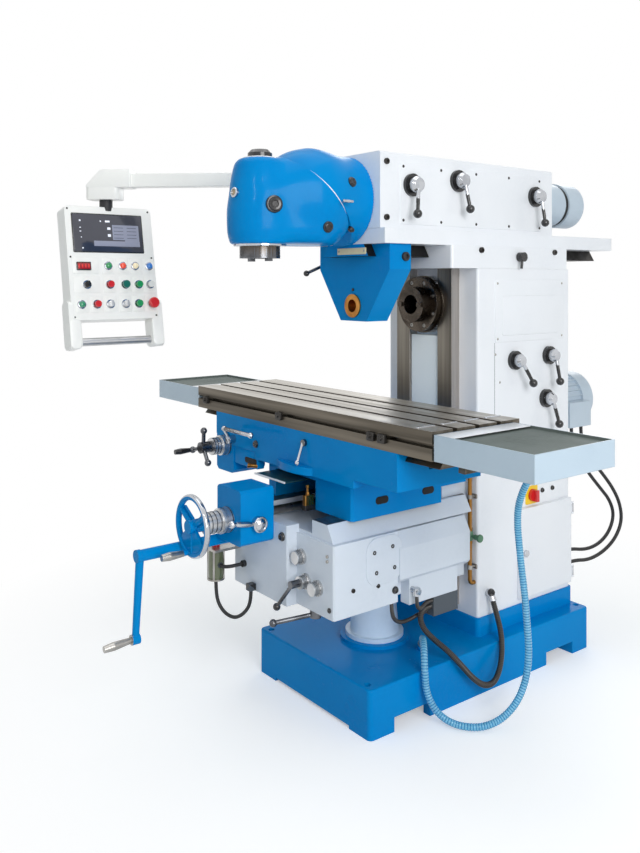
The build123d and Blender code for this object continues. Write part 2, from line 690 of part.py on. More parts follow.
def cabinet_door():
    """Cabinet door with the two barrels of its hinges and a turn knob."""
    x, y = HINGE_AXIS
    half = HINGE_HALF - DOOR_GAP / 2
    face = (COLUMN_SIDE + DOOR_GAP, COLUMN_SIDE + DOOR_GAP + DOOR_THICKNESS)
    door_y = (CABINET_Y[0] - DOOR_MARGIN, CABINET_Y[1] + DOOR_MARGIN / 2)
    body = block(face, door_y, (CABINET_Z[0] - DOOR_MARGIN, CABINET_Z[1] + DOOR_MARGIN))
    for z in HINGE_HEIGHTS:
        span = (z - half, z + half)
        body += rod_z(span, HINGE_AXIS, HINGE_BARREL)
        body += block((x - HINGE_PIN + 1, x + HINGE_PIN), (CABINET_Y[1], y), span)
        body -= rod_z(span, HINGE_AXIS, HINGE_PIN + RUNNING_FIT)
    knob = (door_y[0] + 26, sum(CABINET_Z) / 2)
    return body + rod_x((face[1], face[1] + 8), knob, 12)


def spindle_bearings():
    """Front bearing cap with the two bearing races of the horizontal spindle."""
    axis = (0, SPINDLE_Z)
    cap_y = (BOSS_FACE - CAP_THICKNESS, BOSS_FACE)
    cap = rod_y(cap_y, axis, CAP_RADIUS) - rod_y(cap_y, axis, JOURNAL_RADIUS + FREE_ROOM)
    for index in range(CAP_BOLTS):
        spot = polar(axis, CAP_RADIUS - CAP_BOLT_INSET, 360 / CAP_BOLTS * (index + 0.5))
        cap -= rod_y((cap_y[0], cap_y[0] + CAP_BOLT_RADIUS), spot, CAP_BOLT_RADIUS)
    races = []
    for span, outer in (((BOSS_FACE, COLUMN_FRONT + BOSS_DEPTH - 10), FRONT_RACE_RADIUS),
                        ((COLUMN_INNER_BACK, COLUMN_BACK - 4), REAR_RACE_RADIUS)):
        races.append(rod_y(span, axis, outer) - rod_y(span, axis, JOURNAL_RADIUS + RUNNING_FIT))
    return [cap] + races


def spindle_nose(place, face, shoulder):
    """Nose of a spindle along +Z of its plane: flange with two drive keys, and its taper socket."""
    length = face - shoulder
    nose = Pos(0, 0, shoulder + length / 2) * Cylinder(NOSE_RADIUS, length)
    for side in (-1, 1):
        nose += Pos(side * KEY_OFFSET, 0, face + KEY_SIZE[2] / 2 - 1) * Box(*KEY_SIZE)
    mouth = (Align.CENTER, Align.CENTER, Align.MAX)
    socket = Cone(TAPER_END_RADIUS, TAPER_MOUTH_RADIUS, TAPER_DEPTH, align=mouth)
    return place * nose, place * Pos(0, 0, face) * socket


def horizontal_spindle():
    """Main spindle with its nose, drive keys and bull gear."""
    place = Plane(origin=(0, 0, SPINDLE_Z), x_dir=(1, 0, 0), z_dir=(0, -1, 0))
    nose, socket = spindle_nose(place, -NOSE_FACE, -NOSE_FACE - NOSE_LENGTH)
    body = nose + rod_y((NOSE_FACE + NOSE_LENGTH, COLUMN_BACK - 15), (0, SPINDLE_Z), JOURNAL_RADIUS)
    body -= socket
    body -= rod_y((NOSE_FACE, COLUMN_BACK), (0, SPINDLE_Z), DRAWBAR_RADIUS)
    ends = [(0, y, SPINDLE_Z) for y in SPINDLE_GEAR_Y]
    return [body, gear_wheel(*ends, SPINDLE_GEAR_RADIUS, JOURNAL_RADIUS, teeth=36, depth=9)]


def main_motor():
    """Flanged motor behind the column: finned body, fan cowl and terminal box."""
    axis = (0, MOTOR_Z)
    front = COLUMN_BACK + MOTOR_FLANGE
    end = COLUMN_BACK + MOTOR_LENGTH
    cowl = end - COWL_LENGTH
    core = MOTOR_RADIUS - 8
    body = rod_y((COLUMN_BACK, front), axis, MOTOR_RADIUS + MOTOR_FLANGE) + rod_y((front, cowl), axis, core)
    seat = Plane(origin=(0, front, MOTOR_Z), x_dir=(1, 0, 0), z_dir=(0, 1, 0))
    fin = Pos(core, 0, (cowl - front) / 2) * Box(16, 5, cowl - front)
    for index in range(MOTOR_FINS):
        body += seat * Rot(0, 0, 360 / MOTOR_FINS * index) * fin
    body += rod_y((cowl, end - COWL_DOME), axis, MOTOR_RADIUS + 4)
    body += rod_y((end - COWL_DOME, end), axis, MOTOR_RADIUS + 4, MOTOR_RADIUS - COWL_DOME)
    box_z = (TERMINAL_BOX_FLOOR, TERMINAL_BOX_FLOOR + TERMINAL_BOX_HEIGHT)
    return body + block((MOTOR_RADIUS - 30, TERMINAL_BOX_SIDE), TERMINAL_BOX_Y, box_z)


def lever(x, place, length, lean, seat_radius, socket):
    """Shift lever on a face that looks along +X: seat ring, hub, arm, ball and its shaft."""
    seat, hub, crown = 14, 34, 44
    body = rod_x((x, x + seat), place, seat_radius)
    body += rod_x((x + seat, x + hub), place, seat_radius - 10)
    body += rod((x + hub, *place), (x + crown, *place), seat_radius - 10, seat_radius - 17)
    angle = math.radians(lean)
    root = Vector(x + hub + 2, *place)
    tip = root + Vector(seat, length * math.sin(angle), -length * math.cos(angle))
    body += rod(root, tip, LEVER_ARM, LEVER_ARM - 1) + ball(tip, LEVER_BALL)
    return body + rod_x((x - socket, x), place, LEVER_SHAFT)


def column_lever(name):
    """Speed or range lever on the right of the column."""
    y, drop, lean = COLUMN_LEVERS[name]
    place = (y, COLUMN_TOP - drop)
    return lever(COLUMN_SIDE, place, COLUMN_LEVER_LENGTH, lean, COLUMN_LEVER_SEAT, COLUMN_WALL)


def ram_lever(name):
    """Shift lever on the right of the ram."""
    y, drop, lean = RAM_LEVERS[name]
    return lever(RAM_SIDE, (y, RAM_TOP - drop), RAM_LEVER_LENGTH, lean, RAM_LEVER_SEAT, RAM_WALL)


def isolator_knob():
    """Turn knob of the main switch on the right of the column."""
    y, z = ISOLATOR_PLACE
    plate, skirt, crest = COLUMN_SIDE + 5, COLUMN_SIDE + 17, COLUMN_SIDE + 33
    body = rod_x((plate, skirt), ISOLATOR_PLACE, ISOLATOR_RADIUS)
    body += block((skirt, crest), (y - 7, y + 7), (z - ISOLATOR_RADIUS + 1, z + ISOLATOR_RADIUS - 1))
    return body + rod_x((COLUMN_SIDE - COLUMN_WALL, plate), ISOLATOR_PLACE, ISOLATOR_SHAFT)


def dovetail(middle, top, neck, foot, depth, play):
    """Outline of a dovetail below a flat top, grown by the play with its flanks kept parallel."""
    low = depth + play
    upper, lower = neck + play, neck + play + (foot - neck) * low / depth
    return [(middle - upper, top), (middle - lower, top - low), (middle + lower, top - low), (middle + upper, top)]


def guide_outline(play):
    """Ram dovetail in XZ."""
    return dovetail(0, RAM_SEAT, DOVETAIL_NECK, DOVETAIL_FOOT, DOVETAIL_DEPTH, play)


def ram_guide():
    """Top casting of the column, with the dovetail groove that the ram slides in."""
    y = (GUIDE_FRONT, GUIDE_BACK)
    body = rounded((-COLUMN_SIDE, COLUMN_SIDE), y, (COLUMN_TOP, RAM_SEAT), COLUMN_CORNER)
    body -= prism_y(guide_outline(SLIDING_FIT), y)
    hole = (COLUMN_SIDE - RAM_CLAMP_DEPTH, COLUMN_SIDE)
    return body - rod_x(hole, (RAM_CLAMP_Y, RAM_CLAMP_Z), RAM_CLAMP_SHAFT + RUNNING_FIT)


def ram_clamp_knob():
    """Clamp screw of the ram, with its cross pin."""
    place = (RAM_CLAMP_Y, RAM_CLAMP_Z)
    face = COLUMN_SIDE + 2
    body = rod_x((COLUMN_SIDE - RAM_CLAMP_DEPTH + 5, face), place, RAM_CLAMP_SHAFT)
    body += rod_x((face, face + 24), place, 17)
    return body + rod((face + 14, *place), (face + 18, RAM_CLAMP_Y - 10, RAM_CLAMP_Z - 42), 5)


def ram():
    """Overarm: hollow box on a flange with the dovetail below, and the pendant's shelf on its left."""
    flange_half = RAM_FLANGE_WIDTH / 2
    inner = RAM_SIDE - RAM_WALL
    body = block((-flange_half, flange_half), RAM_FLANGE_Y, (RAM_SEAT, RAM_FLOOR))
    body += block((-RAM_SIDE, RAM_SIDE), (RAM_FRONT, RAM_BACK), (RAM_FLOOR, RAM_TOP))
    body = chamfer(body.edges().filter_by(Axis.Y).group_by(Axis.Z)[-1], RAM_EDGE)
    body += prism_y(guide_outline(0), RAM_FLANGE_Y)
    body -= block((-inner, inner), (RAM_FRONT + RAM_WALL, RAM_BACK), (RAM_FLOOR, RAM_TOP - RAM_WALL))
    body += block((-inner, inner), RAM_WEB_Y, (RAM_FLOOR, DRIVE_Z + DRIVE_GEAR_RADIUS))
    body -= rod_y((RAM_FRONT, RAM_WEB_Y[1]), (0, DRIVE_Z), DRIVE_SHAFT_RADIUS + RUNNING_FIT)
    plate_y = (RAM_BACK - RAM_BACK_PLATE, RAM_BACK)
    plate = block((-RAM_SIDE, RAM_SIDE), plate_y, (RAM_FLOOR, RAM_TOP - RAM_EDGE))
    body += plate - rod_y(plate_y, (0, RAM_MOTOR_Z), RAM_MOTOR_RADIUS - 20)
    for y, drop, _ in RAM_LEVERS.values():
        body -= rod_x((inner, RAM_SIDE), (y, RAM_TOP - drop), LEVER_SHAFT + RUNNING_FIT)
    x, y = ARM_PIVOT
    shelf = block((x - 24, -RAM_SIDE), (y - SHELF_HALF, y + SHELF_HALF), SHELF_Z)
    return body + shelf + rod_z((SHELF_Z[1], ARM_Z + ARM_BAR / 2), ARM_PIVOT, PIVOT_RADIUS)


def ram_motor():
    """Motor of the vertical spindle, on the back of the ram."""
    axis = (0, RAM_MOTOR_Z)
    flange = RAM_BACK + 16
    band = RAM_BACK + RAM_MOTOR_BODY
    cowl = band + RAM_MOTOR_BAND
    end = RAM_BACK + RAM_MOTOR_LENGTH
    body = rod_y((RAM_BACK, flange), axis, RAM_MOTOR_RADIUS + 14)
    body += rod_y((flange, band), axis, RAM_MOTOR_RADIUS)
    body += rod_y((band, cowl), axis, RAM_MOTOR_RADIUS - 3)
    body += rod_y((cowl, end - 14), axis, RAM_MOTOR_RADIUS + 4)
    return body + rod_y((end - 14, end), axis, RAM_MOTOR_RADIUS + 4, RAM_MOTOR_RADIUS - 14)


def ram_drive_shaft():
    """Long shaft that carries the drive forward inside the ram, with its two gears."""
    cone_back = DRIVE_FRONT + DRIVE_CONE
    body = rod_y((cone_back, DRIVE_SHAFT_BACK), (0, DRIVE_Z), DRIVE_SHAFT_RADIUS)
    body += rod_y((DRIVE_FRONT, cone_back), (0, DRIVE_Z), 30, 45)
    ends = [(0, y, DRIVE_Z) for y in DRIVE_GEAR_Y]
    return [body, gear_wheel(*ends, DRIVE_GEAR_RADIUS, DRIVE_SHAFT_RADIUS, teeth=30, depth=6)]


def head_half(side):
    """Half space on one side of the head's slanted joint: +1 is the front, -1 the back."""
    reach = 1000
    plane = Plane(origin=HEAD_CENTRE, x_dir=(1, 0, 0), z_dir=HEAD_AXIS)
    grow = Align.MIN if side > 0 else Align.MAX
    return plane * Box(reach, reach, reach, align=(Align.CENTER, Align.CENTER, grow))


def head_knuckle():
    """Rear half of the head: turns on the ram about its long axis."""
    x, y, z = HEAD_CENTRE
    body = rod_y((RAM_FRONT, y), (x, z), KNUCKLE_RADIUS) + ball(HEAD_CENTRE, HEAD_BALL_RADIUS)
    reach = 2 * HEAD_BALL_RADIUS
    body -= block((-reach, reach), (RAM_FRONT, RAM_FRONT + reach), (z - reach, z + reach))
    body = body & head_half(-1)
    return body - rod_y((RAM_FRONT, DRIVE_FRONT - 8), (x, z), KNUCKLE_BORE)


def head_housing():
    """Front half of the head: carries the vertical spindle and turns on the slanted joint."""
    x, y, z = HEAD_CENTRE
    axis = (x, HEAD_SPINDLE_Y)
    waist = HEAD_BALL_RADIUS - 8
    near, far = y - 20, y + 260
    outline = [(-HEAD_BARREL_RADIUS, HEAD_SPINDLE_Y), (HEAD_BARREL_RADIUS, HEAD_SPINDLE_Y), (waist, near),
               (waist, far), (-waist, far), (-waist, near)]
    link = prism_z(outline, (HEAD_BOTTOM + 10, HEAD_TOP - 10))
    front = Vector(HEAD_CENTRE) + Vector(HEAD_AXIS).normalized() * 400
    body = ball(HEAD_CENTRE, HEAD_BALL_RADIUS) + (link & rod(HEAD_CENTRE, front, HEAD_BALL_RADIUS))
    body += rod_z((HEAD_BOTTOM, HEAD_TOP), axis, HEAD_BARREL_RADIUS)
    body = body & head_half(1)
    body -= rod_z((HEAD_BOTTOM, HEAD_TOP - 20), axis, HEAD_QUILL_RADIUS + RUNNING_FIT)
    low, high = HEAD_CAP_HEIGHTS
    cap = rod_z((HEAD_TOP, HEAD_TOP + low), axis, HEAD_CAP_RADII[0])
    cap += rod_z((HEAD_TOP + low, HEAD_TOP + high), axis, HEAD_CAP_RADII[1])
    return [body, cap]


def vertical_spindle():
    """Vertical spindle with its nose, taper socket and drive keys."""
    place = Plane(origin=(0, HEAD_SPINDLE_Y, 0), x_dir=(1, 0, 0), z_dir=(0, 0, -1))
    nose, socket = spindle_nose(place, HEAD_NOSE_LENGTH - HEAD_BOTTOM, HEAD_NOSE_GAP - HEAD_BOTTOM)
    span = (HEAD_BOTTOM - HEAD_NOSE_GAP, HEAD_BOTTOM + HEAD_QUILL_LENGTH)
    return nose + rod_z(span, (0, HEAD_SPINDLE_Y), HEAD_QUILL_RADIUS) - socket


def arbor_support():
    """Outboard support that hangs from the ram's dovetail."""
    straight = RAM_SEAT - SUPPORT_STRAIGHT
    foot, low = SUPPORT_FOOT, SPINDLE_Z - SUPPORT_EYE_RADIUS
    half = SUPPORT_HALF_WIDTH
    outline = [(-half, RAM_SEAT), (-half, straight), (-foot, low), (foot, low), (half, straight),
               (half, RAM_SEAT)]
    body = prism_y(outline, SUPPORT_Y)
    body -= prism_y(guide_outline(SLIDING_FIT), SUPPORT_Y)
    body -= rod_y(SUPPORT_Y, (0, SPINDLE_Z), BUSH_RADIUS)
    return body - rod_x((-half, 40 - half), SUPPORT_CLAMP, SUPPORT_CLAMP_SHAFT + RUNNING_FIT)


def arbor_bush():
    """Bronze bush in the eye of the arbor support."""
    axis = (0, SPINDLE_Z)
    collar = SUPPORT_Y[0] - BUSH_COLLAR
    body = rod_y(SUPPORT_Y, axis, BUSH_RADIUS)
    body += rod_y((collar, SUPPORT_Y[0]), axis, BUSH_RADIUS + BUSH_COLLAR)
    return body - rod_y((collar, SUPPORT_Y[1]), axis, BUSH_BORE)


def support_clamp_lever():
    """Clamp lever on the left of the arbor support."""
    y, z = SUPPORT_CLAMP
    side = -SUPPORT_HALF_WIDTH
    body = rod_x((side - 22, side + 38), SUPPORT_CLAMP, SUPPORT_CLAMP_SHAFT)
    body += rod_x((side - 30, side - 2), SUPPORT_CLAMP, 14)
    tip = (side - 34, y - 84, z - 36)
    return body + rod((side - 18, y, z), tip, 6) + ball(tip, 11)


def knee():
    """Knee casting: open underneath, with the cross rails on top and keepers round the ways."""
    left, right, apron = KNEE_LEFT, KNEE_RIGHT, KNEE_APRON_RIGHT
    front, shoulder, wall = KNEE_FRONT, KNEE_SHOULDER_Y, KNEE_WALL
    depth = (KNEE_FLOOR, KNEE_TOP)
    body = block((left, right), (shoulder, WAY_FACE), depth) + block((left, apron), (front, shoulder), depth)
    body += block((left, apron), (front, RAIL_FRONT), (KNEE_TOP, APRON_TOP))
    rails = [(-RAIL_FOOT_HALF, KNEE_TOP), (RAIL_FOOT_HALF, KNEE_TOP), (RAIL_TOP_HALF, RAIL_TOP),
             (-RAIL_TOP_HALF, RAIL_TOP)]
    body += prism_y(rails, (RAIL_FRONT, WAY_FACE))
    keeper_x = (WAY_OUTER + SLIDING_FIT, WAY_OUTER + SLIDING_FIT + KEEPER_WIDTH)
    body += block((-keeper_x[1], keeper_x[1]), (REAR_GUIDE_Y, WAY_FACE), (KNEE_TOP, REAR_GUIDE_TOP))
    body -= block((-TROUGH_HALF, TROUGH_HALF), (RAIL_FRONT, REAR_GUIDE_Y), (TROUGH_FLOOR, REAR_GUIDE_TOP))
    notch = CROSS_SCREW_RADIUS + CROSS_SCREW_ROOM
    body -= block((CROSS_X - notch, CROSS_X + notch), (front, RAIL_FRONT), (CROSS_Z - notch, REAR_GUIDE_TOP))
    keeper_z = (KNEE_FLOOR + KEEPER_RISE, REAR_GUIDE_TOP - KEEPER_DROP)
    keeper = block(keeper_x, (WAY_FACE, COLUMN_FRONT - KEEPER_GAP), keeper_z)
    body += [keeper, mirrored(keeper)]
    hollow = (KNEE_FLOOR, KNEE_TOP - wall)
    body -= block((left + wall, right - wall), (shoulder + wall, WAY_FACE - wall), hollow)
    body -= block((left + wall, apron - wall), (front + wall, shoulder + wall), hollow)
    web_y = (SCREW_Y - WEB_HALF_LENGTH, SCREW_Y + WEB_HALF_LENGTH)
    body += block((left + 5, right - 5), web_y, WEB_Z)
    body -= rod_z(WEB_Z, (0, SCREW_Y), SCREW_RADIUS + RUNNING_FIT)
    body -= rod_y((front, front + wall), (CRANK_X, CRANK_Z), CRANK_SHAFT + RUNNING_FIT)
    socket = (REAR_GUIDE_Y, REAR_GUIDE_Y + 30)
    return body - rod_y(socket, (CROSS_X, CROSS_Z), CROSS_SCREW_RADIUS + RUNNING_FIT)


def dial_place(name):
    """Place in XZ of a feed dial on the front of the gearbox."""
    across, drop = FEED_DIALS[name]
    return GEARBOX_X[0] + across, GEARBOX_Z[1] - drop


def feed_gearbox():
    """Feed gearbox on the right of the knee, with the feed motor's cover and the box below it."""
    wall = GEARBOX_WALL
    front, floor = GEARBOX_Y[0], GEARBOX_Z[0]
    box = block(GEARBOX_X, GEARBOX_Y, GEARBOX_Z)
    box = chamfer(box.edges().filter_by(Axis.Z).group_by(Axis.X)[-1], GEARBOX_EDGE)
    box -= block((GEARBOX_X[0], GEARBOX_X[1] - wall), (front + wall, GEARBOX_Y[1] - wall),
                 (floor + wall, GEARBOX_Z[1] - wall))
    for name in FEED_DIALS:
        box -= rod_y((front, front + wall), dial_place(name), DIAL_SHAFT + RUNNING_FIT)
    box -= rod_z((floor, floor + wall), CLAMP_PIVOT, DIAL_SHAFT + RUNNING_FIT)
    side, low = KNEE_RIGHT, COVER_FLOOR
    outline = [(side, low), (side + 47, low), (side + 55, low + 10), (side + 55, low + 108),
               (side + 30, low + 158), (side, low + 158)]
    cover = prism_y(outline, (KNEE_SHOULDER_Y, COVER_BACK))
    lower = block((side, side + LOWER_BOX_WIDTH), LOWER_BOX_Y, (LOWER_BOX_FLOOR, COVER_FLOOR))
    return [box, cover, lower]


def knee_fittings():
    """Small fixed pieces on the knee: limit switch box, lubricator with its bracket, and hose elbows."""
    switch_front = LEAD_ROUTES[0][-1][1]
    switch_y = (switch_front, switch_front + SWITCH_BOX_LENGTH)
    switch_z = (LOWER_BOX_FLOOR - SWITCH_BOX_HEIGHT, LOWER_BOX_FLOOR)
    switch = block((KNEE_RIGHT, KNEE_RIGHT + SWITCH_BOX_WIDTH), switch_y, switch_z)
    x, y, low = LUBE_ROUTES[0][0]
    outlet = LUBE_ROUTES[1][0]
    plate_top = BOTTLE_TOP + 8
    bottle = rod_z((low, BOTTLE_TOP), (x, y), BOTTLE_RADIUS) + rod_x((x, outlet[0]), outlet[1:], 9)
    plate = block((x - 30, x + 45), (y - 30, KNEE_FRONT), (BOTTLE_TOP, plate_top))
    cap = rod_z((plate_top, plate_top + 16), (x, y), 14)
    end_x, end_y, end_z = LUBE_ROUTES[0][-1]
    half = 2 * LUBE_HOSE_RADIUS
    low_gland = block((end_x - half, end_x + half), (end_y - half, KNEE_FRONT), (end_z, end_z + 22))
    side_x, side_y, side_z = LUBE_ROUTES[1][-1]
    side_gland = rod_y((side_y, KNEE_FRONT), (side_x, side_z), half - 1)
    lead_x, lead_y, lead_z = LEAD_ROUTES[1][0]
    elbow = rod_z((lead_z, lead_z + 24), (lead_x, lead_y), 12)
    elbow += rod_x((KNEE_RIGHT + LOWER_BOX_WIDTH, lead_x + 12), (lead_y, lead_z + 14), 10)
    return [switch, bottle, plate, cap, low_gland, side_gland, elbow]


def cross_feed_box():
    """Cross feed box on the front of the knee."""
    front, back = CROSS_BOX_Y
    axis = (CROSS_X, CROSS_Z)
    body = block(CROSS_BOX_X, CROSS_BOX_Y, CROSS_BOX_Z)
    body = chamfer(body.edges().filter_by(Axis.Y), CROSS_BOX_EDGE)
    body -= rod_y((back - CROSS_SOCKET, back), axis, CROSS_SCREW_RADIUS + RUNNING_FIT)
    body -= rod_y((front, front + CROSS_SOCKET), axis, CRANK_SHAFT + RUNNING_FIT)
    return body - rod_x((CROSS_BOX_X[1] - 30, CROSS_BOX_X[1]), CROSS_LEVER, DIAL_SHAFT + RUNNING_FIT)


def cross_feed_lever():
    """Lever on the right of the cross feed box, an eye on a round boss."""
    x = CROSS_BOX_X[1]
    y, z = CROSS_LEVER
    body = rod_x((x - 28, x), CROSS_LEVER, DIAL_SHAFT) + rod_x((x, x + 18), CROSS_LEVER, 24)
    tip = (x + 12, y - 100, z + 16)
    return body + rod((x + 10, y, z), tip, 7) + ball(tip, 12)


def cross_screw():
    """Screw that moves the saddle to and from the column."""
    span = (CROSS_BOX_Y[1] - CROSS_SOCKET + 5, REAR_GUIDE_Y + 25)
    return rod_y(span, (CROSS_X, CROSS_Z), CROSS_SCREW_RADIUS)


def grip(start, end, radius):
    """Turned handle, thickest past its middle."""
    axis = Vector(end) - Vector(start)
    waist = Vector(start) + axis * 0.65
    return rod(start, waist, radius * 0.7, radius) + rod(waist, end, radius, radius * 0.8)


def cross_handwheel():
    """Handwheel with its graduated dial, three spokes and turning handle."""
    face = CROSS_BOX_Y[0]
    axis = (CROSS_X, CROSS_Z)
    hub_end = HANDWHEEL_Y - HANDWHEEL_HUB
    body = rod_y((face + CROSS_SOCKET - 5, hub_end), axis, CRANK_SHAFT)
    for start, end, radius in ((face, face - 35, 40), (face - 35, face - 85, 34), (face - 85, hub_end, 21)):
        body += rod_y((start, end), axis, radius)
    rim_y = (HANDWHEEL_Y + HANDWHEEL_RIM, HANDWHEEL_Y - HANDWHEEL_RIM)
    rim = rod_y(rim_y, axis, HANDWHEEL_RADIUS + HANDWHEEL_RIM)
    rim -= rod_y(rim_y, axis, HANDWHEEL_RADIUS - HANDWHEEL_RIM)
    body += fillet(rim.edges().filter_by(GeomType.CIRCLE), 0.8 * HANDWHEEL_RIM)
    for angle in (30, 150, 270):
        x, z = polar(axis, HANDWHEEL_RADIUS, angle)
        body += rod((CROSS_X, HANDWHEEL_Y, CROSS_Z), (x, HANDWHEEL_Y, z), 9, 7)
    x, z = polar(axis, HANDWHEEL_RADIUS, 255)
    seat = HANDWHEEL_Y - 14
    body += rod_y((HANDWHEEL_Y, seat), (x, z), 9)
    return [body, grip((x, seat, z), (x, seat - 80, z), 13)]


def knee_crank():
    """Long crank that raises the knee: sleeve, arm and turning handle."""
    axis = (CRANK_X, CRANK_Z)
    corner = Vector(CRANK_X, KNEE_FRONT - CRANK_REACH, CRANK_Z)
    foot = corner + Vector(0, -15, -CRANK_ARM)
    seat = foot - Vector(0, 14, 0)
    body = rod_y((KNEE_FRONT, KNEE_FRONT + KNEE_WALL - 2), axis, CRANK_SHAFT)
    body += rod_y((corner.Y, KNEE_FRONT), axis, 18) + rod_y((corner.Y - 14, corner.Y), axis, 20)
    body += rod(corner, foot, 13, 11) + rod(foot + Vector(0, 12, 0), seat, 16)
    return [body, grip(seat, seat - Vector(0, 88, 6), 13)]


def feed_dial(name):
    """Feed selector on the front of the gearbox; the left one has a lever."""
    place = dial_place(name)
    face = GEARBOX_Y[0]
    body = rod_y((face, face + GEARBOX_WALL), place, DIAL_SHAFT)
    body += rod_y((face - DIAL_SKIRT_DEPTH, face), place, DIAL_SKIRT)
    body += rod_y((face - DIAL_DEPTH, face - DIAL_SKIRT_DEPTH), place, DIAL_RADIUS)
    if name == "feed_dial_left":
        lever_y = KNEE_FRONT - DIAL_LEVER_GAP
        tip = (place[0] - 69, lever_y - 10, place[1] - 86)
        body += rod_y((lever_y - 8, face - DIAL_DEPTH), place, 12)
        start = (place[0], lever_y, place[1])
        knob = Plane(origin=tip, z_dir=Vector(tip) - Vector(start)) * Sphere(12)
        body += rod(start, tip, 6) + knob
    return body


def knee_clamp_lever():
    """Lever under the gearbox that locks the knee on its ways."""
    x, y = CLAMP_PIVOT
    top = GEARBOX_Z[0]
    body = rod_z((top, top + GEARBOX_WALL), CLAMP_PIVOT, DIAL_SHAFT)
    body += rod_z((top - 26, top), CLAMP_PIVOT, 18)
    tip = (x - 58, y - 120, top - 34)
    return body + rod((x, y, top - 16), tip, 7) + ball(tip, 12)


def elevating_screw():
    """Elevating screw with the bevel gear that turns it, resting on the knee's web."""
    seat = WEB_Z[1]
    body = rod_z((SCREW_FOOT_Z, seat + SCREW_HEAD), (0, SCREW_Y), SCREW_RADIUS)
    ends = (0, SCREW_Y, seat), (0, SCREW_Y, seat + BEVEL_WIDTH)
    return [body, gear_wheel(*ends, BEVEL_RADIUS, SCREW_RADIUS, teeth=28, depth=6)]


def saddle():
    """Saddle on the knee's rails, with a recess that clears the cross feed box and a nut below."""
    half = SADDLE_HALF_WIDTH
    body = block((-half, half), SADDLE_Y, (RAIL_TOP, SADDLE_STEP_Z))
    body += block((-half, half), (SADDLE_Y[0], SADDLE_FLANGE_BACK), (SADDLE_STEP_Z, SADDLE_TOP))
    body = chamfer(body.edges().filter_by(Axis.Z), SADDLE_EDGE)
    recess_z = (RAIL_TOP, CROSS_BOX_Z[1] + SADDLE_RECESS_ROOM)
    body -= block(SADDLE_RECESS_X, (SADDLE_Y[0], SADDLE_RECESS_Y), recess_z)
    nut_x = (CROSS_X - SADDLE_NUT_HALF, CROSS_X + SADDLE_NUT_HALF)
    body += block(nut_x, SADDLE_NUT_Y, (TROUGH_FLOOR + FREE_ROOM, RAIL_TOP))
    body -= rod_y(SADDLE_NUT_Y, (CROSS_X, CROSS_Z), CROSS_SCREW_RADIUS + RUNNING_FIT)
    return body + rod_z((SADDLE_TOP, SWIVEL_BEAM_Z), (0, SWIVEL_Y), SWIVEL_SPIGOT_RADIUS)


def tongue_outline(play):
    """Table dovetail in YZ about the swivel centre."""
    return dovetail(SWIVEL_Y, SWIVEL_TOP, TONGUE_NECK, TONGUE_FOOT, TONGUE_DEPTH, play)


def swivel_base():
    """Swivelling base of the table: round plate, long beam with the dovetail groove, and the end gearbox."""
    half = SWIVEL_HALF_LENGTH
    front, back = TABLE_Y[0], TABLE_Y[1] - SWIVEL_BACK_INSET
    seat = SWIVEL_TOP - OIL_FILM
    beam = [(-half, SWIVEL_BEAM_Z + 30), (-half, seat), (half, seat), (half, SWIVEL_BEAM_Z),
            (130 - half, SWIVEL_BEAM_Z)]
    body = prism_y(beam, (front, back))
    lip_x = (-SADDLE_HALF_WIDTH, SADDLE_HALF_WIDTH + 70)
    body += block(lip_x, (front, SADDLE_Y[0] - 5), (SADDLE_TOP, SWIVEL_BEAM_Z))
    body += rod_z((SADDLE_TOP, SWIVEL_BEAM_Z), (0, SWIVEL_Y), SWIVEL_PLATE_RADIUS)
    box_x = (FREE_ROOM - half, FREE_ROOM - half + SWIVEL_BOX_LENGTH)
    box = block(box_x, (front, front + SWIVEL_BOX_DEPTH), (SADDLE_TOP - 75, SWIVEL_BEAM_Z + 60))
    body += chamfer(box.edges().filter_by(Axis.Y).group_by(Axis.Z)[0], 12)
    body -= prism_x(tongue_outline(SLIDING_FIT), (-half, half))
    trough_y = (SWIVEL_Y - TROUGH_HALF_WIDTH, SWIVEL_Y + TROUGH_HALF_WIDTH)
    trough_floor = LEADSCREW_Z - TROUGH_BELOW
    body -= block((-half, half), trough_y, (trough_floor, SWIVEL_TOP))
    nut_x = (-NUT_HALF_LENGTH, NUT_HALF_LENGTH)
    body += block(nut_x, trough_y, (trough_floor, SWIVEL_TOP - FREE_ROOM))
    body -= rod_x(nut_x, (SWIVEL_Y, LEADSCREW_Z), LEADSCREW_RADIUS + RUNNING_FIT)
    body -= rod_z((SADDLE_TOP, SWIVEL_BEAM_Z), (0, SWIVEL_Y), SWIVEL_SPIGOT_RADIUS + RUNNING_FIT)
    body -= rod_y((front, front + 40), (TABLE_CRANK_X, TABLE_CRANK_Z), CRANK_SHAFT + RUNNING_FIT)
    return body - rod_y((front, front + 25), (FEED_LEVER_X, FEED_LEVER_Z), DIAL_SHAFT + RUNNING_FIT)


def table_crank():
    """Table crank: dial, hub and three ball arms, the lowest with a turning handle."""
    axis = (TABLE_CRANK_X, TABLE_CRANK_Z)
    face = TABLE_Y[0]
    arm_y = face - 96
    body = rod_y((face, face + 38), axis, CRANK_SHAFT)
    for low, high, radius in ((face - 30, face, 36), (face - 65, face - 30, 30), (face - 110, face - 65, 20)):
        body += rod_y((low, high), axis, radius)
    for angle in (75, 195, 315):
        x, z = polar(axis, TABLE_CRANK_ARM, angle)
        tip = (x, arm_y - 8, z)
        body += rod((axis[0], arm_y, axis[1]), tip, 7) + ball(tip, 12)
    x, z = polar(axis, TABLE_CRANK_ARM, 195)
    seat = arm_y - 18
    body += rod_y((seat, seat + 12), (x, z), 8)
    return [body, grip((x, seat, z), (x, seat - 62, z), 11)]


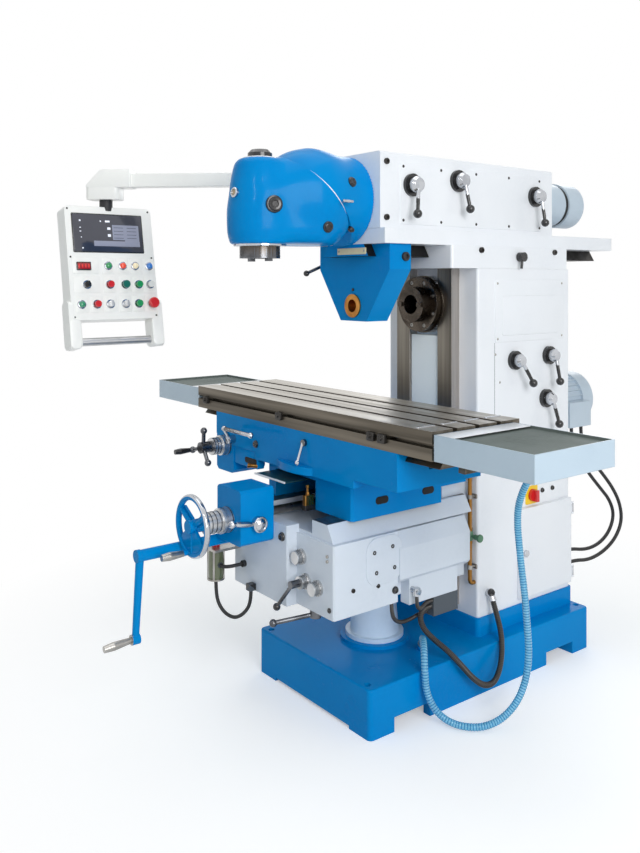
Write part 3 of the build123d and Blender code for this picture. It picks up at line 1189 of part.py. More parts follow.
def feed_lever():
    """Long lever that engages the table feed."""
    x, z = FEED_LEVER_X, FEED_LEVER_Z
    face = TABLE_Y[0]
    knuckle = (x + 6, face - 44, z + 42)
    tip = (x + 205, face - 62, z + 48)
    body = rod_y((face, face + 22), (x, z), DIAL_SHAFT) + rod_y((face - 26, face), (x, z), 15)
    body += rod((x, face - 16, z), knuckle, 8) + ball(knuckle, 10)
    return body + rod(knuckle, tip, 7) + ball(tip, 10)


def table():
    """Work table with its dovetail below, three tee slots, a stop slot in front and the screw lugs."""
    span = (-TABLE_END, TABLE_END)
    front = TABLE_Y[0]
    body = block(span, TABLE_Y, (SWIVEL_TOP, TABLE_TOP)) + prism_x(tongue_outline(0), span)
    channel = TROUGH_HALF_WIDTH + FREE_ROOM
    body -= block(span, (SWIVEL_Y - channel, SWIVEL_Y + channel), (SWIVEL_TOP - TONGUE_DEPTH, SWIVEL_TOP))
    neck_z = (TABLE_TOP - SLOT_NECK_DEPTH, TABLE_TOP)
    foot_z = (neck_z[0] - SLOT_FOOT_DEPTH, neck_z[0])
    for index in (-1, 0, 1):
        y = SWIVEL_Y + index * SLOT_PITCH
        body -= block(span, (y - SLOT_NECK / 2, y + SLOT_NECK / 2), neck_z)
        body -= block(span, (y - SLOT_FOOT / 2, y + SLOT_FOOT / 2), foot_z)
    for (width, depth), start in ((STOP_SLOT_NECK, front), (STOP_SLOT_FOOT, front + STOP_SLOT_NECK[1])):
        middle = SWIVEL_TOP + TABLE_HEIGHT / 2
        body -= block(span, (start, start + depth), (middle - width / 2, middle + width / 2))
    lug_y = (SWIVEL_Y - LUG_HALF_WIDTH, SWIVEL_Y + LUG_HALF_WIDTH)
    for x in ((-TABLE_END, LUG_LENGTH - TABLE_END), (TABLE_END - LUG_LENGTH, TABLE_END)):
        body += block(x, lug_y, (LEADSCREW_Z - LUG_BELOW, SWIVEL_TOP))
        body -= rod_x(x, (SWIVEL_Y, LEADSCREW_Z), LEADSCREW_RADIUS + RUNNING_FIT)
    return body


def leadscrew():
    """Screw that moves the table along."""
    reach = TABLE_END - FREE_ROOM
    return rod_x((-reach, reach), (SWIVEL_Y, LEADSCREW_Z), LEADSCREW_RADIUS)


def drip_trays():
    """Sheet trays at both ends of the table, each under a chip screen, the right one with a drain."""
    skin = TRAY_SKIN
    tray = block(TRAY_X, TRAY_Y, TRAY_Z)
    room_x, room_y = (TRAY_X[0] + skin, TRAY_X[1] - skin), (TRAY_Y[0] + skin, TRAY_Y[1] - skin)
    tray -= block(room_x, room_y, (TRAY_Z[0] + skin, TRAY_Z[1]))
    top = TRAY_Z[1] - SCREEN_DROP
    screen = block(room_x, room_y, (top - SCREEN_SKIN, top))
    hook_y = (SWIVEL_Y - TRAY_HOOK_HALF, SWIVEL_Y + TRAY_HOOK_HALF)
    tray += block((TABLE_END, TRAY_X[0]), hook_y, (TRAY_Z[0] + 14, TRAY_Z[1] - 40))
    back = TRAY_Y[1]
    drain = (DRAIN_X, DRAIN_Z)
    right = tray + rod_y((back, back + DRAIN_REACH), drain, HOSE_RADIUS + COUPLING_SKIN)
    right -= rod_y((back - skin, back + DRAIN_REACH), drain, HOSE_BORE)
    return [mirrored(tray), right, mirrored(screen), screen]


def pendant_arm():
    """Swing arm of the pendant: hub on the ram's pin, square bar and elbow with the swivel drum."""
    span = (ARM_Z - ARM_BAR / 2, ARM_Z + ARM_BAR / 2)
    start = Vector(*ARM_PIVOT, ARM_Z)
    run = Vector(*PENDANT_AXIS, ARM_Z) - start
    place = Plane(origin=start, x_dir=run, z_dir=(0, 0, 1))
    elbow = place * Pos(run.length, 0, -4) * Box(96, 78, ARM_BAR + 16)
    body = place * Pos(run.length / 2, 0, 0) * Box(run.length, ARM_BAR, ARM_BAR)
    body += rod_z(span, ARM_PIVOT, PIVOT_HUB)
    body += fillet(elbow.edges().filter_by(Axis.Z), 20)
    body += rod_z(DRUM_Z, PENDANT_AXIS, DRUM_RADIUS)
    body -= rod_z(span, ARM_PIVOT, PIVOT_RADIUS + RUNNING_FIT)
    return body - rod_z(DRUM_Z, PENDANT_AXIS, SWIVEL_PIN + RUNNING_FIT)


def control_places():
    """Centre of every control on the panel's face."""
    places = [(x, y) for x, y, _ in BUTTONS.values()]
    return places + list(SELECTORS.values()) + [STOP_PLACE]


def panel_rod(place, low, high, radius):
    """Cylinder that stands on the panel's face between two heights."""
    return PANEL * Pos(*place, (low + high) / 2) * Cylinder(radius, high - low)


def pendant_box():
    """Hollow control box with its neck, bezels, side cheeks and handle bar."""
    body = extrude(RectangleRounded(PANEL_WIDTH, PANEL_HEIGHT, PANEL_CORNER), -PANEL_DEPTH)
    inner = [size - 2 * PANEL_SKIN for size in (PANEL_WIDTH, PANEL_HEIGHT, PANEL_DEPTH)]
    body -= Pos(0, 0, -PANEL_DEPTH / 2) * Box(*inner)
    for place in control_places():
        body += Pos(*place, BEZEL_HEIGHT / 2) * Cylinder(BEZEL_RADIUS, BEZEL_HEIGHT)
        body -= Pos(*place, 0) * Cylinder(BUTTON_STEM + RUNNING_FIT, 8 * PANEL_SKIN)
    depth, height, thickness = CHEEK_SIZE
    cheek_x = PANEL_WIDTH / 2 - 8
    cheek_plane = Plane(origin=(cheek_x, *CHEEK_CENTRE), x_dir=(0, 0, 1), z_dir=(1, 0, 0))
    cheek = extrude(cheek_plane * RectangleRounded(depth, height, 22), thickness, dir=(1, 0, 0))
    body += [cheek, mirrored(cheek)]
    handle = Pos(0, HANDLE_Y, CHEEK_CENTRE[1]) * Rot(0, 90, 0) * Cylinder(HANDLE_RADIUS, 2 * cheek_x)
    body = PANEL * body
    top = PANEL_CENTRE[2] + PANEL_HEIGHT / 2 * math.cos(math.radians(PANEL_TILT)) - 14
    body += rod_z((top, DRUM_Z[0]), PENDANT_AXIS, PANEL_NECK)
    body += rod_z((DRUM_Z[0], DRUM_Z[1] - 4), PENDANT_AXIS, SWIVEL_PIN)
    return [body, PANEL * handle]


def push_button(name):
    """Push button: cap above its bezel and a stem through the panel."""
    x, y, radius = BUTTONS[name]
    low = BEZEL_HEIGHT + BUTTON_TRAVEL + 1
    cap = panel_rod((x, y), low, low + BUTTON_HEIGHT, radius)
    return cap + panel_rod((x, y), -BUTTON_STEM_DEPTH, low, BUTTON_STEM)


def selector(name):
    """Turning selector: round skirt with a raised bar, on a stem through the panel."""
    place = SELECTORS[name]
    low = BEZEL_HEIGHT
    body = panel_rod(place, low, low + BUTTON_HEIGHT, BUTTON_RADIUS)
    body += PANEL * Pos(*place, low + 14) * Box(7, 2 * BUTTON_RADIUS - 3, 12)
    return body + panel_rod(place, -BUTTON_STEM_DEPTH, low, BUTTON_STEM)


def emergency_stop():
    """Mushroom button of the emergency stop."""
    low = BEZEL_HEIGHT + STOP_TRAVEL + 2
    crown = low + 4
    head = panel_rod(STOP_PLACE, crown, crown + 12, STOP_RADIUS)
    head += panel_rod(STOP_PLACE, low, crown, STOP_RADIUS - 5)
    head = fillet(head.edges().sort_by(lambda edge: PANEL.to_local_coords(edge.center()).Z)[-1], 5)
    return head + panel_rod(STOP_PLACE, -BUTTON_STEM_DEPTH - 2, low, BUTTON_STEM)


def cord_path(points):
    """Straight runs joined by the largest tangent arcs that they leave room for, and the radii."""
    spots = [Vector(point) for point in points]
    radii = []
    for before, corner, after in zip(spots, spots[1:], spots[2:]):
        first, second = corner - before, after - corner
        turn = math.radians(first.get_angle(second))
        radii.append(0.45 * min(first.length, second.length) / math.tan(turn / 2))
    return FilletPolyline(*spots, radius=radii), radii


def tube(points, radius):
    """Round tube along a route."""
    path, _ = cord_path(points)
    return sweep(Plane(origin=path @ 0, z_dir=path % 0) * Circle(radius), path=path)


def report_cord(name, points, radius, solid):
    """Print a cord's length, least bend radius and how its volume compares with section times length."""
    path, radii = cord_path(points)
    ratio = solid.volume / (math.pi * radius ** 2 * path.length)
    print(f"{name}: length {path.length:.0f}, least bend {min(radii):.0f}, volume ratio {ratio:.3f}")


def ribbed_hose(points, crest, valley, bore, ribs):
    """Hose with raised rings along a route and a smooth bore; its ends are plain for one diameter."""
    path, _ = cord_path(points)
    plain = 2 * crest
    pitch = (path.length - 2 * plain) / ribs
    stations = [(0, valley)]
    for index in range(ribs):
        start = plain + index * pitch
        shape = ((0.0, valley), (0.25, crest), (0.6, crest), (0.85, valley))
        stations += [(start + share * pitch, size) for share, size in shape]
    stations.append((path.length, valley))
    side = Vector(1, 0, 0)
    rings = []
    for distance, size in stations:
        spot = path.position_at(distance, position_mode=PositionMode.LENGTH)
        heading = path.tangent_at(distance, position_mode=PositionMode.LENGTH)
        side = (side - heading * side.dot(heading)).normalized()
        rings.append(Plane(origin=spot, x_dir=side, z_dir=heading) * Circle(size))
    return loft(rings, ruled=True) - tube(points, bore)


def hoses():
    """All hoses and conduits, by node."""
    coolant = ribbed_hose(HOSE_ROUTE, HOSE_RADIUS, HOSE_VALLEY, HOSE_BORE, HOSE_RIBS)
    report_cord("coolant hose", HOSE_ROUTE, HOSE_RADIUS, coolant)
    conduit = ribbed_hose(CONDUIT_ROUTE, CONDUIT_RADIUS, CONDUIT_VALLEY, CONDUIT_BORE, CONDUIT_RIBS)
    report_cord("knee conduit", CONDUIT_ROUTE, CONDUIT_RADIUS, conduit)
    plain = {}
    families = (("rear cable", CABLE_ROUTES, CABLE_RADIUS), ("knee lead", LEAD_ROUTES, LEAD_RADIUS),
                ("lubricator hose", LUBE_ROUTES, LUBE_HOSE_RADIUS))
    for name, routes, radius in families:
        plain[name] = [tube(route, radius) for route in routes]
        for route, solid in zip(routes, plain[name]):
            report_cord(name, route, radius, solid)
    return {"coolant_hose": coolant, "control_conduits": [conduit] + plain["rear cable"],
            "knee_hoses": plain["knee lead"] + plain["lubricator hose"]}


def all_nodes():
    """Every node of the machine, by name."""
    makers = (base, screw_pedestal, column, cabinet_door, spindle_bearings, horizontal_spindle, main_motor,
              isolator_knob, ram_guide, ram_clamp_knob, ram, ram_motor, ram_drive_shaft, head_knuckle,
              head_housing, vertical_spindle, arbor_support, arbor_bush, support_clamp_lever, knee,
              feed_gearbox, knee_fittings, cross_feed_box, cross_feed_lever, cross_screw, cross_handwheel,
              knee_crank, knee_clamp_lever, elevating_screw, saddle, swivel_base, table_crank, feed_lever,
              table, leadscrew, drip_trays, pendant_arm, pendant_box, emergency_stop)
    nodes = {maker.__name__: maker() for maker in makers}
    families = ((column_lever, COLUMN_LEVERS), (ram_lever, RAM_LEVERS), (feed_dial, FEED_DIALS),
                (push_button, BUTTONS), (selector, SELECTORS))
    for maker, members in families:
        nodes.update({name: maker(name) for name in members})
    nodes.update(hoses())
    return nodes


def main():
    """Write every node to a STEP file of its own."""
    os.makedirs("parts", exist_ok=True)
    for name, shape in all_nodes().items():
        solids = shape if isinstance(shape, list) else [shape]
        pieces = [solid for piece in solids for solid in piece.solids()]
        export_step(pieces[0] if len(pieces) == 1 else Compound(children=pieces), f"parts/{name}.step")


main()
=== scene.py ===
"""Looks of a knee-type universal milling machine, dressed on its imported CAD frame.

Sizes and places are in millimetres and become metres when a mesh is made; X runs to the machine's right, Y to
its back and Z up.
"""
import logging
import math
from collections.abc import Callable, Sequence
from dataclasses import dataclass, field
from enum import Enum
from functools import partial
from itertools import product

import bpy
import numpy as np
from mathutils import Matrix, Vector


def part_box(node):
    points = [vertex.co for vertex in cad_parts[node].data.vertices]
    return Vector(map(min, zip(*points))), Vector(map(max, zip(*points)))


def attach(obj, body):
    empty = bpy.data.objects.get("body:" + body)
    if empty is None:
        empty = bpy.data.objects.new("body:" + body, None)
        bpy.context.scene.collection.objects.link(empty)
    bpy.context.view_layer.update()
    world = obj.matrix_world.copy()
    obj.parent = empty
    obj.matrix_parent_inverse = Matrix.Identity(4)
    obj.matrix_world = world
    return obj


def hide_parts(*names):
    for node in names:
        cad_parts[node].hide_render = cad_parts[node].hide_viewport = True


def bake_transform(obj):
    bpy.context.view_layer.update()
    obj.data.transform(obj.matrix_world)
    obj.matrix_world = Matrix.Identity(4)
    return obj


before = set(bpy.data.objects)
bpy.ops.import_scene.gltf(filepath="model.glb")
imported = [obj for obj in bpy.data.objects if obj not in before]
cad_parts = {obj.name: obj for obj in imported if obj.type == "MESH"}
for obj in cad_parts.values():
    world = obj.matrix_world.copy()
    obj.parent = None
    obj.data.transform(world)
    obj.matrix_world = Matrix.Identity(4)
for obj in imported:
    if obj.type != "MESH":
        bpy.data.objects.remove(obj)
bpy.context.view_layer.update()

MM = 0.001
EYE = (2.233, -2.2317, 1.394)
LOG = logging.getLogger("mill")
RIGHT, LEFT, BACK, FRONT, UP = (1, 0, 0), (-1, 0, 0), (0, 1, 0), (0, -1, 0), (0, 0, 1)
RIGHT_FACE, LEFT_FACE, TOP_FACE = (BACK, UP), (FRONT, UP), (RIGHT, BACK)
FRONT_FACE, REAR_FACE = (RIGHT, UP), (LEFT, UP)

Point = Sequence[float]
Pair = tuple[float, float]
Triple = tuple[float, float, float]
Axes = tuple[np.ndarray, np.ndarray, np.ndarray]
Mask = Callable[[np.ndarray, np.ndarray], np.ndarray]
Socket = bpy.types.NodeSocket
Value = float | Point | Socket


# Surfaces

@dataclass
class Shell:
    """Closed surface in the making.

    points are (n, 3) in mm, quads (m, 4) point numbers, caps the end faces as rings of point numbers.
    """

    points: np.ndarray
    quads: np.ndarray
    caps: list[np.ndarray] = field(default_factory=list)

    def outward(self) -> "Shell":
        """Turns the faces round where the volume, the sum of a.(b x c) over their triangles, is negative.

        Returns:
            The shell itself.
        """
        fans = [self.quads[:, [0, 1, 2]], self.quads[:, [0, 2, 3]]]
        fans += [np.stack([np.full(len(c) - 2, c[0]), c[1:-1], c[2:]], 1) for c in self.caps]
        a, b, c = (self.points[corner] - self.points.mean(0) for corner in np.concatenate(fans).T)
        if np.einsum("ij,ij->", a, np.cross(b, c)) < 0:
            self.quads = self.quads[:, ::-1]
            self.caps = [cap[::-1] for cap in self.caps]
        return self


def join(shells: Sequence[Shell]) -> Shell:
    """Puts several shells into one, each face number moved on by the points before it.

    Args:
        shells: the shells in order.

    Returns:
        One shell with all their faces.
    """
    start = np.cumsum([0] + [len(s.points) for s in shells[:-1]])
    quads = np.concatenate([s.quads + k for s, k in zip(shells, start)])
    caps = [cap + k for s, k in zip(shells, start) for cap in s.caps]
    return Shell(np.concatenate([s.points for s in shells]), quads, caps)


def unit(vector: Point) -> np.ndarray:
    """A vector at length one."""
    v = np.asarray(vector, float)
    return v / np.linalg.norm(v)


def cross_axes(axis: Point) -> Axes:
    """Two directions square to an axis and to each other.

    Args:
        axis: the axis, of any length.

    Returns:
        The two directions and the axis, each at length one.
    """
    n = unit(axis)
    e1 = unit(np.cross(UP if abs(n[2]) < 0.9 else BACK, n))
    return e1, np.cross(n, e1), n


def on_circle(centre: Point, radius: float, angle: float, y: float) -> Axes:
    """Place on a circle about an axis along Y: centre + radius (sin angle, cos angle) in X and Z.

    Args:
        centre: X and Z of the axis.
        radius: radius of the circle.
        angle: angle from the top toward the right.
        y: Y of the circle.

    Returns:
        The place, the tangent there and the direction outward.
    """
    out = np.array([math.sin(angle), 0.0, math.cos(angle)])
    return np.array([centre[0], y, centre[1]]) + radius * out, np.array([out[2], 0.0, -out[0]]), out


def loft(rings: np.ndarray, closed: bool = False) -> Shell:
    """Skins a row of rings and closes its two ends with flat faces, or joins them.

    Args:
        rings: points as (rows, columns, 3); each row is a closed ring.
        closed: whether the last row joins the first.

    Returns:
        The closed shell.
    """
    rows, columns = rings.shape[:2]
    i = np.arange(rows if closed else rows - 1)[:, None] * columns
    j = np.arange(columns)[None, :]
    up, on = (i + columns) % (rows * columns), (j + 1) % columns
    quads = np.stack(np.broadcast_arrays(i + j, i + on, up + on, up + j), -1).reshape(-1, 4)
    ends = [] if closed else [np.arange(columns)[::-1], np.arange(columns) + (rows - 1) * columns]
    return Shell(rings.reshape(-1, 3).astype(float), quads, ends).outward()


def turned(profile: Sequence[Point], place: Point, axis: Point, sides: int = 40, ring: bool = False) -> Shell:
    """Surface of revolution, with rows that may be hexagons.

    A point is place + R(v, angle) (cos angle e1 + sin angle e2) + height(v) axis, where R is the row's
    radius, times cos 30 / cos(angle from the middle of its flat) by the row's share of hexagon.

    Args:
        profile: rows of (radius, height) or (radius, height, share of hexagon).
        place: foot of the axis.
        axis: direction of the heights.
        sides: points round the axis.
        ring: whether the profile is a closed loop.

    Returns:
        The closed shell.
    """
    rows = np.array([(*row, 0)[:3] for row in profile], float)
    angle = np.linspace(0, 2 * np.pi, sides, endpoint=False)
    flat = np.cos(np.pi / 6) / np.cos(angle % (np.pi / 3) - np.pi / 6)
    radius = rows[:, :1] * (1 - rows[:, 2:] + rows[:, 2:] * flat)
    e1, e2, n = cross_axes(axis)
    spin = np.cos(angle)[:, None] * e1 + np.sin(angle)[:, None] * e2
    return loft(np.asarray(place, float) + radius[..., None] * spin + rows[:, 1, None, None] * n, ring)


def washer(outer: float, inner: float, start: float, end: float, place: Point, axis: Point,
           sides: int = 48) -> Shell:
    """Flat ring: the rectangle between two radii and two heights, turned about the axis."""
    return turned([(outer, start), (outer, end), (inner, end), (inner, start)], place, axis, sides, True)


def rounded_outline(width: float, height: float, corner: float, steps: int = 6) -> np.ndarray:
    """Rectangle with round corners: each corner is a quarter circle about its own centre.

    Args:
        width: size across.
        height: size up.
        corner: radius of the corners.
        steps: points in a corner.

    Returns:
        The outline as (points, 2).
    """
    turn = np.linspace(0, np.pi / 2, steps)
    quarter = np.arange(4)[:, None] * np.pi / 2
    sign = np.array([(1, 1), (-1, 1), (-1, -1), (1, -1)], float)
    centre = sign * (np.array([width, height]) / 2 - corner)
    arc = corner * np.stack([np.cos(quarter + turn), np.sin(quarter + turn)], -1)
    return (centre[:, None, :] + arc).reshape(-1, 2)


def slab(size: Point, place: Point, x_dir: Point, y_dir: Point, corner: float = 3.0, edge: float = 1.0,
         sink: float = 0.3) -> Shell:
    """Plate with round corners and a rounded front edge.

    The outline is carried along the normal x cross y; over the last part of the thickness it shrinks by
    edge (1 - cos a) while it rises by edge sin a, a from 0 to 90 degrees.

    Args:
        size: width, height and thickness.
        place: middle of the back face.
        x_dir: direction of the width.
        y_dir: direction of the height.
        corner: radius of the corners.
        edge: radius of the front edge.
        sink: how far the back reaches into what carries the plate.

    Returns:
        The closed shell.
    """
    width, height, thick = size
    a = np.linspace(0, np.pi / 2, 4)
    inset = np.concatenate([[0.0], edge * (1 - np.cos(a))])
    rise = np.concatenate([[-sink], thick - edge + edge * np.sin(a)])
    rows = np.stack([rounded_outline(width - 2 * d, height - 2 * d, max(corner - d, 0.02)) for d in inset])
    x, y = unit(x_dir), unit(y_dir)
    flat = rows[..., :1] * x + rows[..., 1:] * y
    return loft(np.asarray(place, float) + flat + rise[:, None, None] * np.cross(x, y))


def carried_frames(path: np.ndarray) -> tuple[np.ndarray, np.ndarray]:
    """Normals along a path that do not twist.

    Each normal is the one before it, mirrored by the step along the path and then by the turn of the tangent.

    Args:
        path: points as (n, 3).

    Returns:
        The normals and the binormals, each (n, 3).
    """
    tangent = np.gradient(path, axis=0)
    tangent /= np.linalg.norm(tangent, axis=1)[:, None]
    normal = np.empty_like(path)
    normal[0] = cross_axes(tangent[0])[0]
    for k, step in enumerate(np.diff(path, axis=0)):
        mirrored = normal[k] - 2 * (step @ normal[k]) / (step @ step) * step
        turn = tangent[k + 1] - (tangent[k] - 2 * (step @ tangent[k]) / (step @ step) * step)
        normal[k + 1] = mirrored - 2 * (turn @ mirrored) / max(turn @ turn, 1e-12) * turn
    return normal, np.cross(tangent, normal)


def tube(path: np.ndarray, radius: float | np.ndarray, sides: int = 18) -> Shell:
    """Circle carried along a path: path(v) + r(v) (cos u normal(v) + sin u binormal(v)).

    Args:
        path: points as (n, 3).
        radius: one radius, or one for each point.
        sides: points round the path.

    Returns:
        The closed shell.
    """
    normal, binormal = carried_frames(path)
    u = np.linspace(0, 2 * np.pi, sides, endpoint=False)[:, None]
    spin = np.cos(u) * normal[:, None, :] + np.sin(u) * binormal[:, None, :]
    return loft(path[:, None, :] + np.broadcast_to(radius, len(path))[:, None, None] * spin)


def arc_path(points: Sequence[Point], bend: float, steps: int = 10) -> np.ndarray:
    """Straight runs of a rigid pipe joined by bends.

    A bend is (1 - t)^2 a + 2 t (1 - t) corner + t^2 b, where a and b lie one leg from the corner.

    Args:
        points: ends and corners of the pipe.
        bend: length of a leg.
        steps: points in a bend.

    Returns:
        The path as (n, 3).
    """
    p = [np.asarray(q, float) for q in points]
    t = np.linspace(0, 1, steps)[:, None]
    parts = [p[0][None]]
    for before, corner, after in zip(p, p[1:], p[2:]):
        a, b = corner + bend * unit(before - corner), corner + bend * unit(after - corner)
        parts.append((1 - t) ** 2 * a + 2 * t * (1 - t) * corner + t ** 2 * b)
    return np.concatenate([*parts, p[-1][None]])


def cap_screw(place: Point, axis: Point, radius: float, height: float) -> Shell:
    """Socket-head screw: turned head with a hexagon sunk into its top."""
    key = 0.55 * radius
    return turned([(radius, -0.4), (radius, height - 0.12 * radius), (0.88 * radius, height),
                   (key, height, 1), (key, 0.45 * height, 1)], place, axis, 24)


def hex_bolt(place: Point, axis: Point, radius: float, height: float) -> Shell:
    """Hexagon bolt on a washer, its corners chamfered by a turned cone."""
    return turned([(1.25 * radius, -0.3), (1.25 * radius, 0.18 * height), (1.08 * radius, 0.2 * height, 1),
                   (1.08 * radius, 0.88 * height, 1), (0.9 * radius, height)], place, axis, 36)


def round_screw(place: Point, axis: Point, radius: float, height: float) -> Shell:
    """Pan-head screw: a low dome, radius cos a against height sin a, with a hexagon socket.

    Args:
        place: middle of its seat.
        axis: direction out of the seat.
        radius: radius of the head.
        height: height of the head.

    Returns:
        The closed shell.
    """
    dome = [(radius * math.cos(a), height * math.sin(a)) for a in np.linspace(0, 1.2, 5)]
    key = 0.3 * radius
    return turned([(radius, -0.4), *dome, (key, 0.96 * height, 1), (key, 0.4 * height, 1)], place, axis, 24)


def plug(place: Point, axis: Point, radius: float, height: float) -> Shell:
    """Moulded plug: flange, domed crown and a shallow dished middle."""
    shares = ((1, 0.35), (0.9, 0.6), (0.8, 0.62), (0.76, 0.9), (0.66, 1), (0.42, 0.94), (0.36, 0.7))
    return turned([(radius, -1.5), *((r * radius, h * height) for r, h in shares)], place, axis, 36)


def profile_block(outline: Sequence[Point], half: float, place: Point, x_dir: Point, y_dir: Point,
                  edge: float) -> Shell:
    """Outline carried across its own plane, drawn in toward its middle over a rounded edge at both ends.

    At angle a from 0 to 90 degrees the outline is drawn in by edge (1 - sin a) and lies edge (1 - cos a)
    inside the end.

    Args:
        outline: corners in the plane of the two directions.
        half: half the thickness across that plane.
        place: origin of the plane.
        x_dir: first direction of the plane.
        y_dir: second direction of the plane.
        edge: radius of the edges.

    Returns:
        The closed shell.
    """
    flat = np.asarray(outline, float)
    middle = flat.mean(0)
    a = np.linspace(0, np.pi / 2, 4)
    inset, rise = edge * (1 - np.sin(a)), edge * (1 - np.cos(a))
    share = np.concatenate([inset, inset[::-1]]) / np.linalg.norm(flat - middle, axis=1).mean()
    along = np.concatenate([rise - half, (half - rise)[::-1]])
    drawn = middle + (flat - middle) * (1 - share)[:, None, None]
    x, y = unit(x_dir), unit(y_dir)
    plane = drawn[..., :1] * x + drawn[..., 1:] * y
    return loft(np.asarray(place, float) + plane + along[:, None, None] * np.cross(x, y))


def soft_min(first: np.ndarray, second: np.ndarray, width: float) -> np.ndarray:
    """Lesser of two fields a and b, rounded where they are alike: b + (a - b) h - width h (1 - h)."""
    h = np.clip(0.5 + 0.5 * (second - first) / width, 0, 1)
    return second + (first - second) * h - width * h * (1 - h)


def soft_max(first: np.ndarray, second: np.ndarray, width: float) -> np.ndarray:
    """Greater of two fields, rounded in the same way."""
    return -soft_min(-first, -second, width)


def bulged(solid: Callable[[np.ndarray], np.ndarray], middle: np.ndarray, axis: Point, reach: float = 420.0,
           rows: int = 110, columns: int = 240) -> Shell:
    """Skin of a blended casting on one side of a flat face.

    A ray leaves the middle of the flat face at u round the axis and v above the face; its point lies where
    the casting's field, negative inside, is nought, found by halving every ray's span at once.

    Args:
        solid: the field, from points (rows, columns, 3) to values.
        middle: a point inside, on the flat face.
        axis: direction out of the flat face.
        reach: longest ray.
        rows: steps from the face to the pole.
        columns: steps round the axis.

    Returns:
        The closed shell.
    """
    e1, e2, n = cross_axes(axis)
    v = np.linspace(0, np.pi / 2, rows + 1)[:-1, None, None]
    u = np.linspace(0, 2 * np.pi, columns, endpoint=False)[None, :, None]
    ray = np.cos(v) * (np.cos(u) * e1 + np.sin(u) * e2) + np.sin(v) * n
    near, far = np.zeros(ray.shape[:2]), np.full(ray.shape[:2], reach)
    for _ in range(36):
        half = (near + far) / 2
        inside = solid(middle + half[..., None] * ray) < 0
        near, far = np.where(inside, half, near), np.where(inside, far, half)
    return loft(middle + near[..., None] * ray)


# Finishes

class Grain(Enum):
    """Direction in which a cutter or a grinding belt has left its marks, as a squeeze of the coordinates."""

    ALONG_X = (0.03, 1.0, 1.0)
    ALONG_Z = (1.0, 1.0, 0.03)
    ROUND = (0.6, 0.6, 0.6)


def linear(colour: Point) -> tuple[float, float, float, float]:
    """Linear colour with alpha, from three display values of 0 to 255."""
    c = np.asarray(colour, float) / 255
    return (*map(float, np.where(c <= 0.04045, c / 12.92, ((c + 0.055) / 1.055) ** 2.4)), 1.0)


class Wiring:
    """Places nodes in a tree and joins their sockets."""

    def __init__(self, tree: bpy.types.NodeTree) -> None:
        """Keeps the tree that the nodes go into."""
        self.tree = tree

    def feed(self, node: bpy.types.Node, inputs: dict) -> None:
        """Joins sockets to a node's inputs, or sets the inputs to constants."""
        for key, value in inputs.items():
            if isinstance(value, Socket):
                self.tree.links.new(value, node.inputs[key])
            else:
                node.inputs[key].default_value = value

    def node(self, kind: str, inputs: dict | None = None, **settings: object) -> bpy.types.Node:
        """Adds a node.

        Args:
            kind: Blender's name of the node.
            inputs: a socket or a constant by input.
            settings: the node's own properties.

        Returns:
            The node.
        """
        made = self.tree.nodes.new(kind)
        for key, value in settings.items():
            setattr(made, key, value)
        self.feed(made, inputs or {})
        return made

    def blend(self, share: Value, first: Value, second: Value) -> Socket:
        """Colour between two, each a constant or a socket, by a socket's value."""
        return self.node("ShaderNodeMix", {0: share, 6: first, 7: second}, data_type="RGBA").outputs[2]

    def ramp(self, value: Value, source: Point, target: Point) -> Socket:
        """A value carried from one range to another and held at its ends."""
        return self.node("ShaderNodeMapRange", dict(enumerate((value, *source, *target)))).outputs[0]

    def sum(self, operation: str, first: Value, second: Value) -> Socket:
        """A sum of two values, each a constant or a socket, held between 0 and 1."""
        inputs = {0: first, 1: second}
        return self.node("ShaderNodeMath", inputs, operation=operation, use_clamp=True).outputs[0]

    def where(self) -> Socket:
        """The object's own coordinates."""
        return self.node("ShaderNodeTexCoord").outputs["Object"]

    def noise(self, scale: Value, detail: float, place: Socket, rough: float = 0.5) -> Socket:
        """A noise on the coordinates given."""
        inputs = {"Scale": scale, "Detail": detail, "Roughness": rough, "Vector": place}
        return self.node("ShaderNodeTexNoise", inputs).outputs[0]


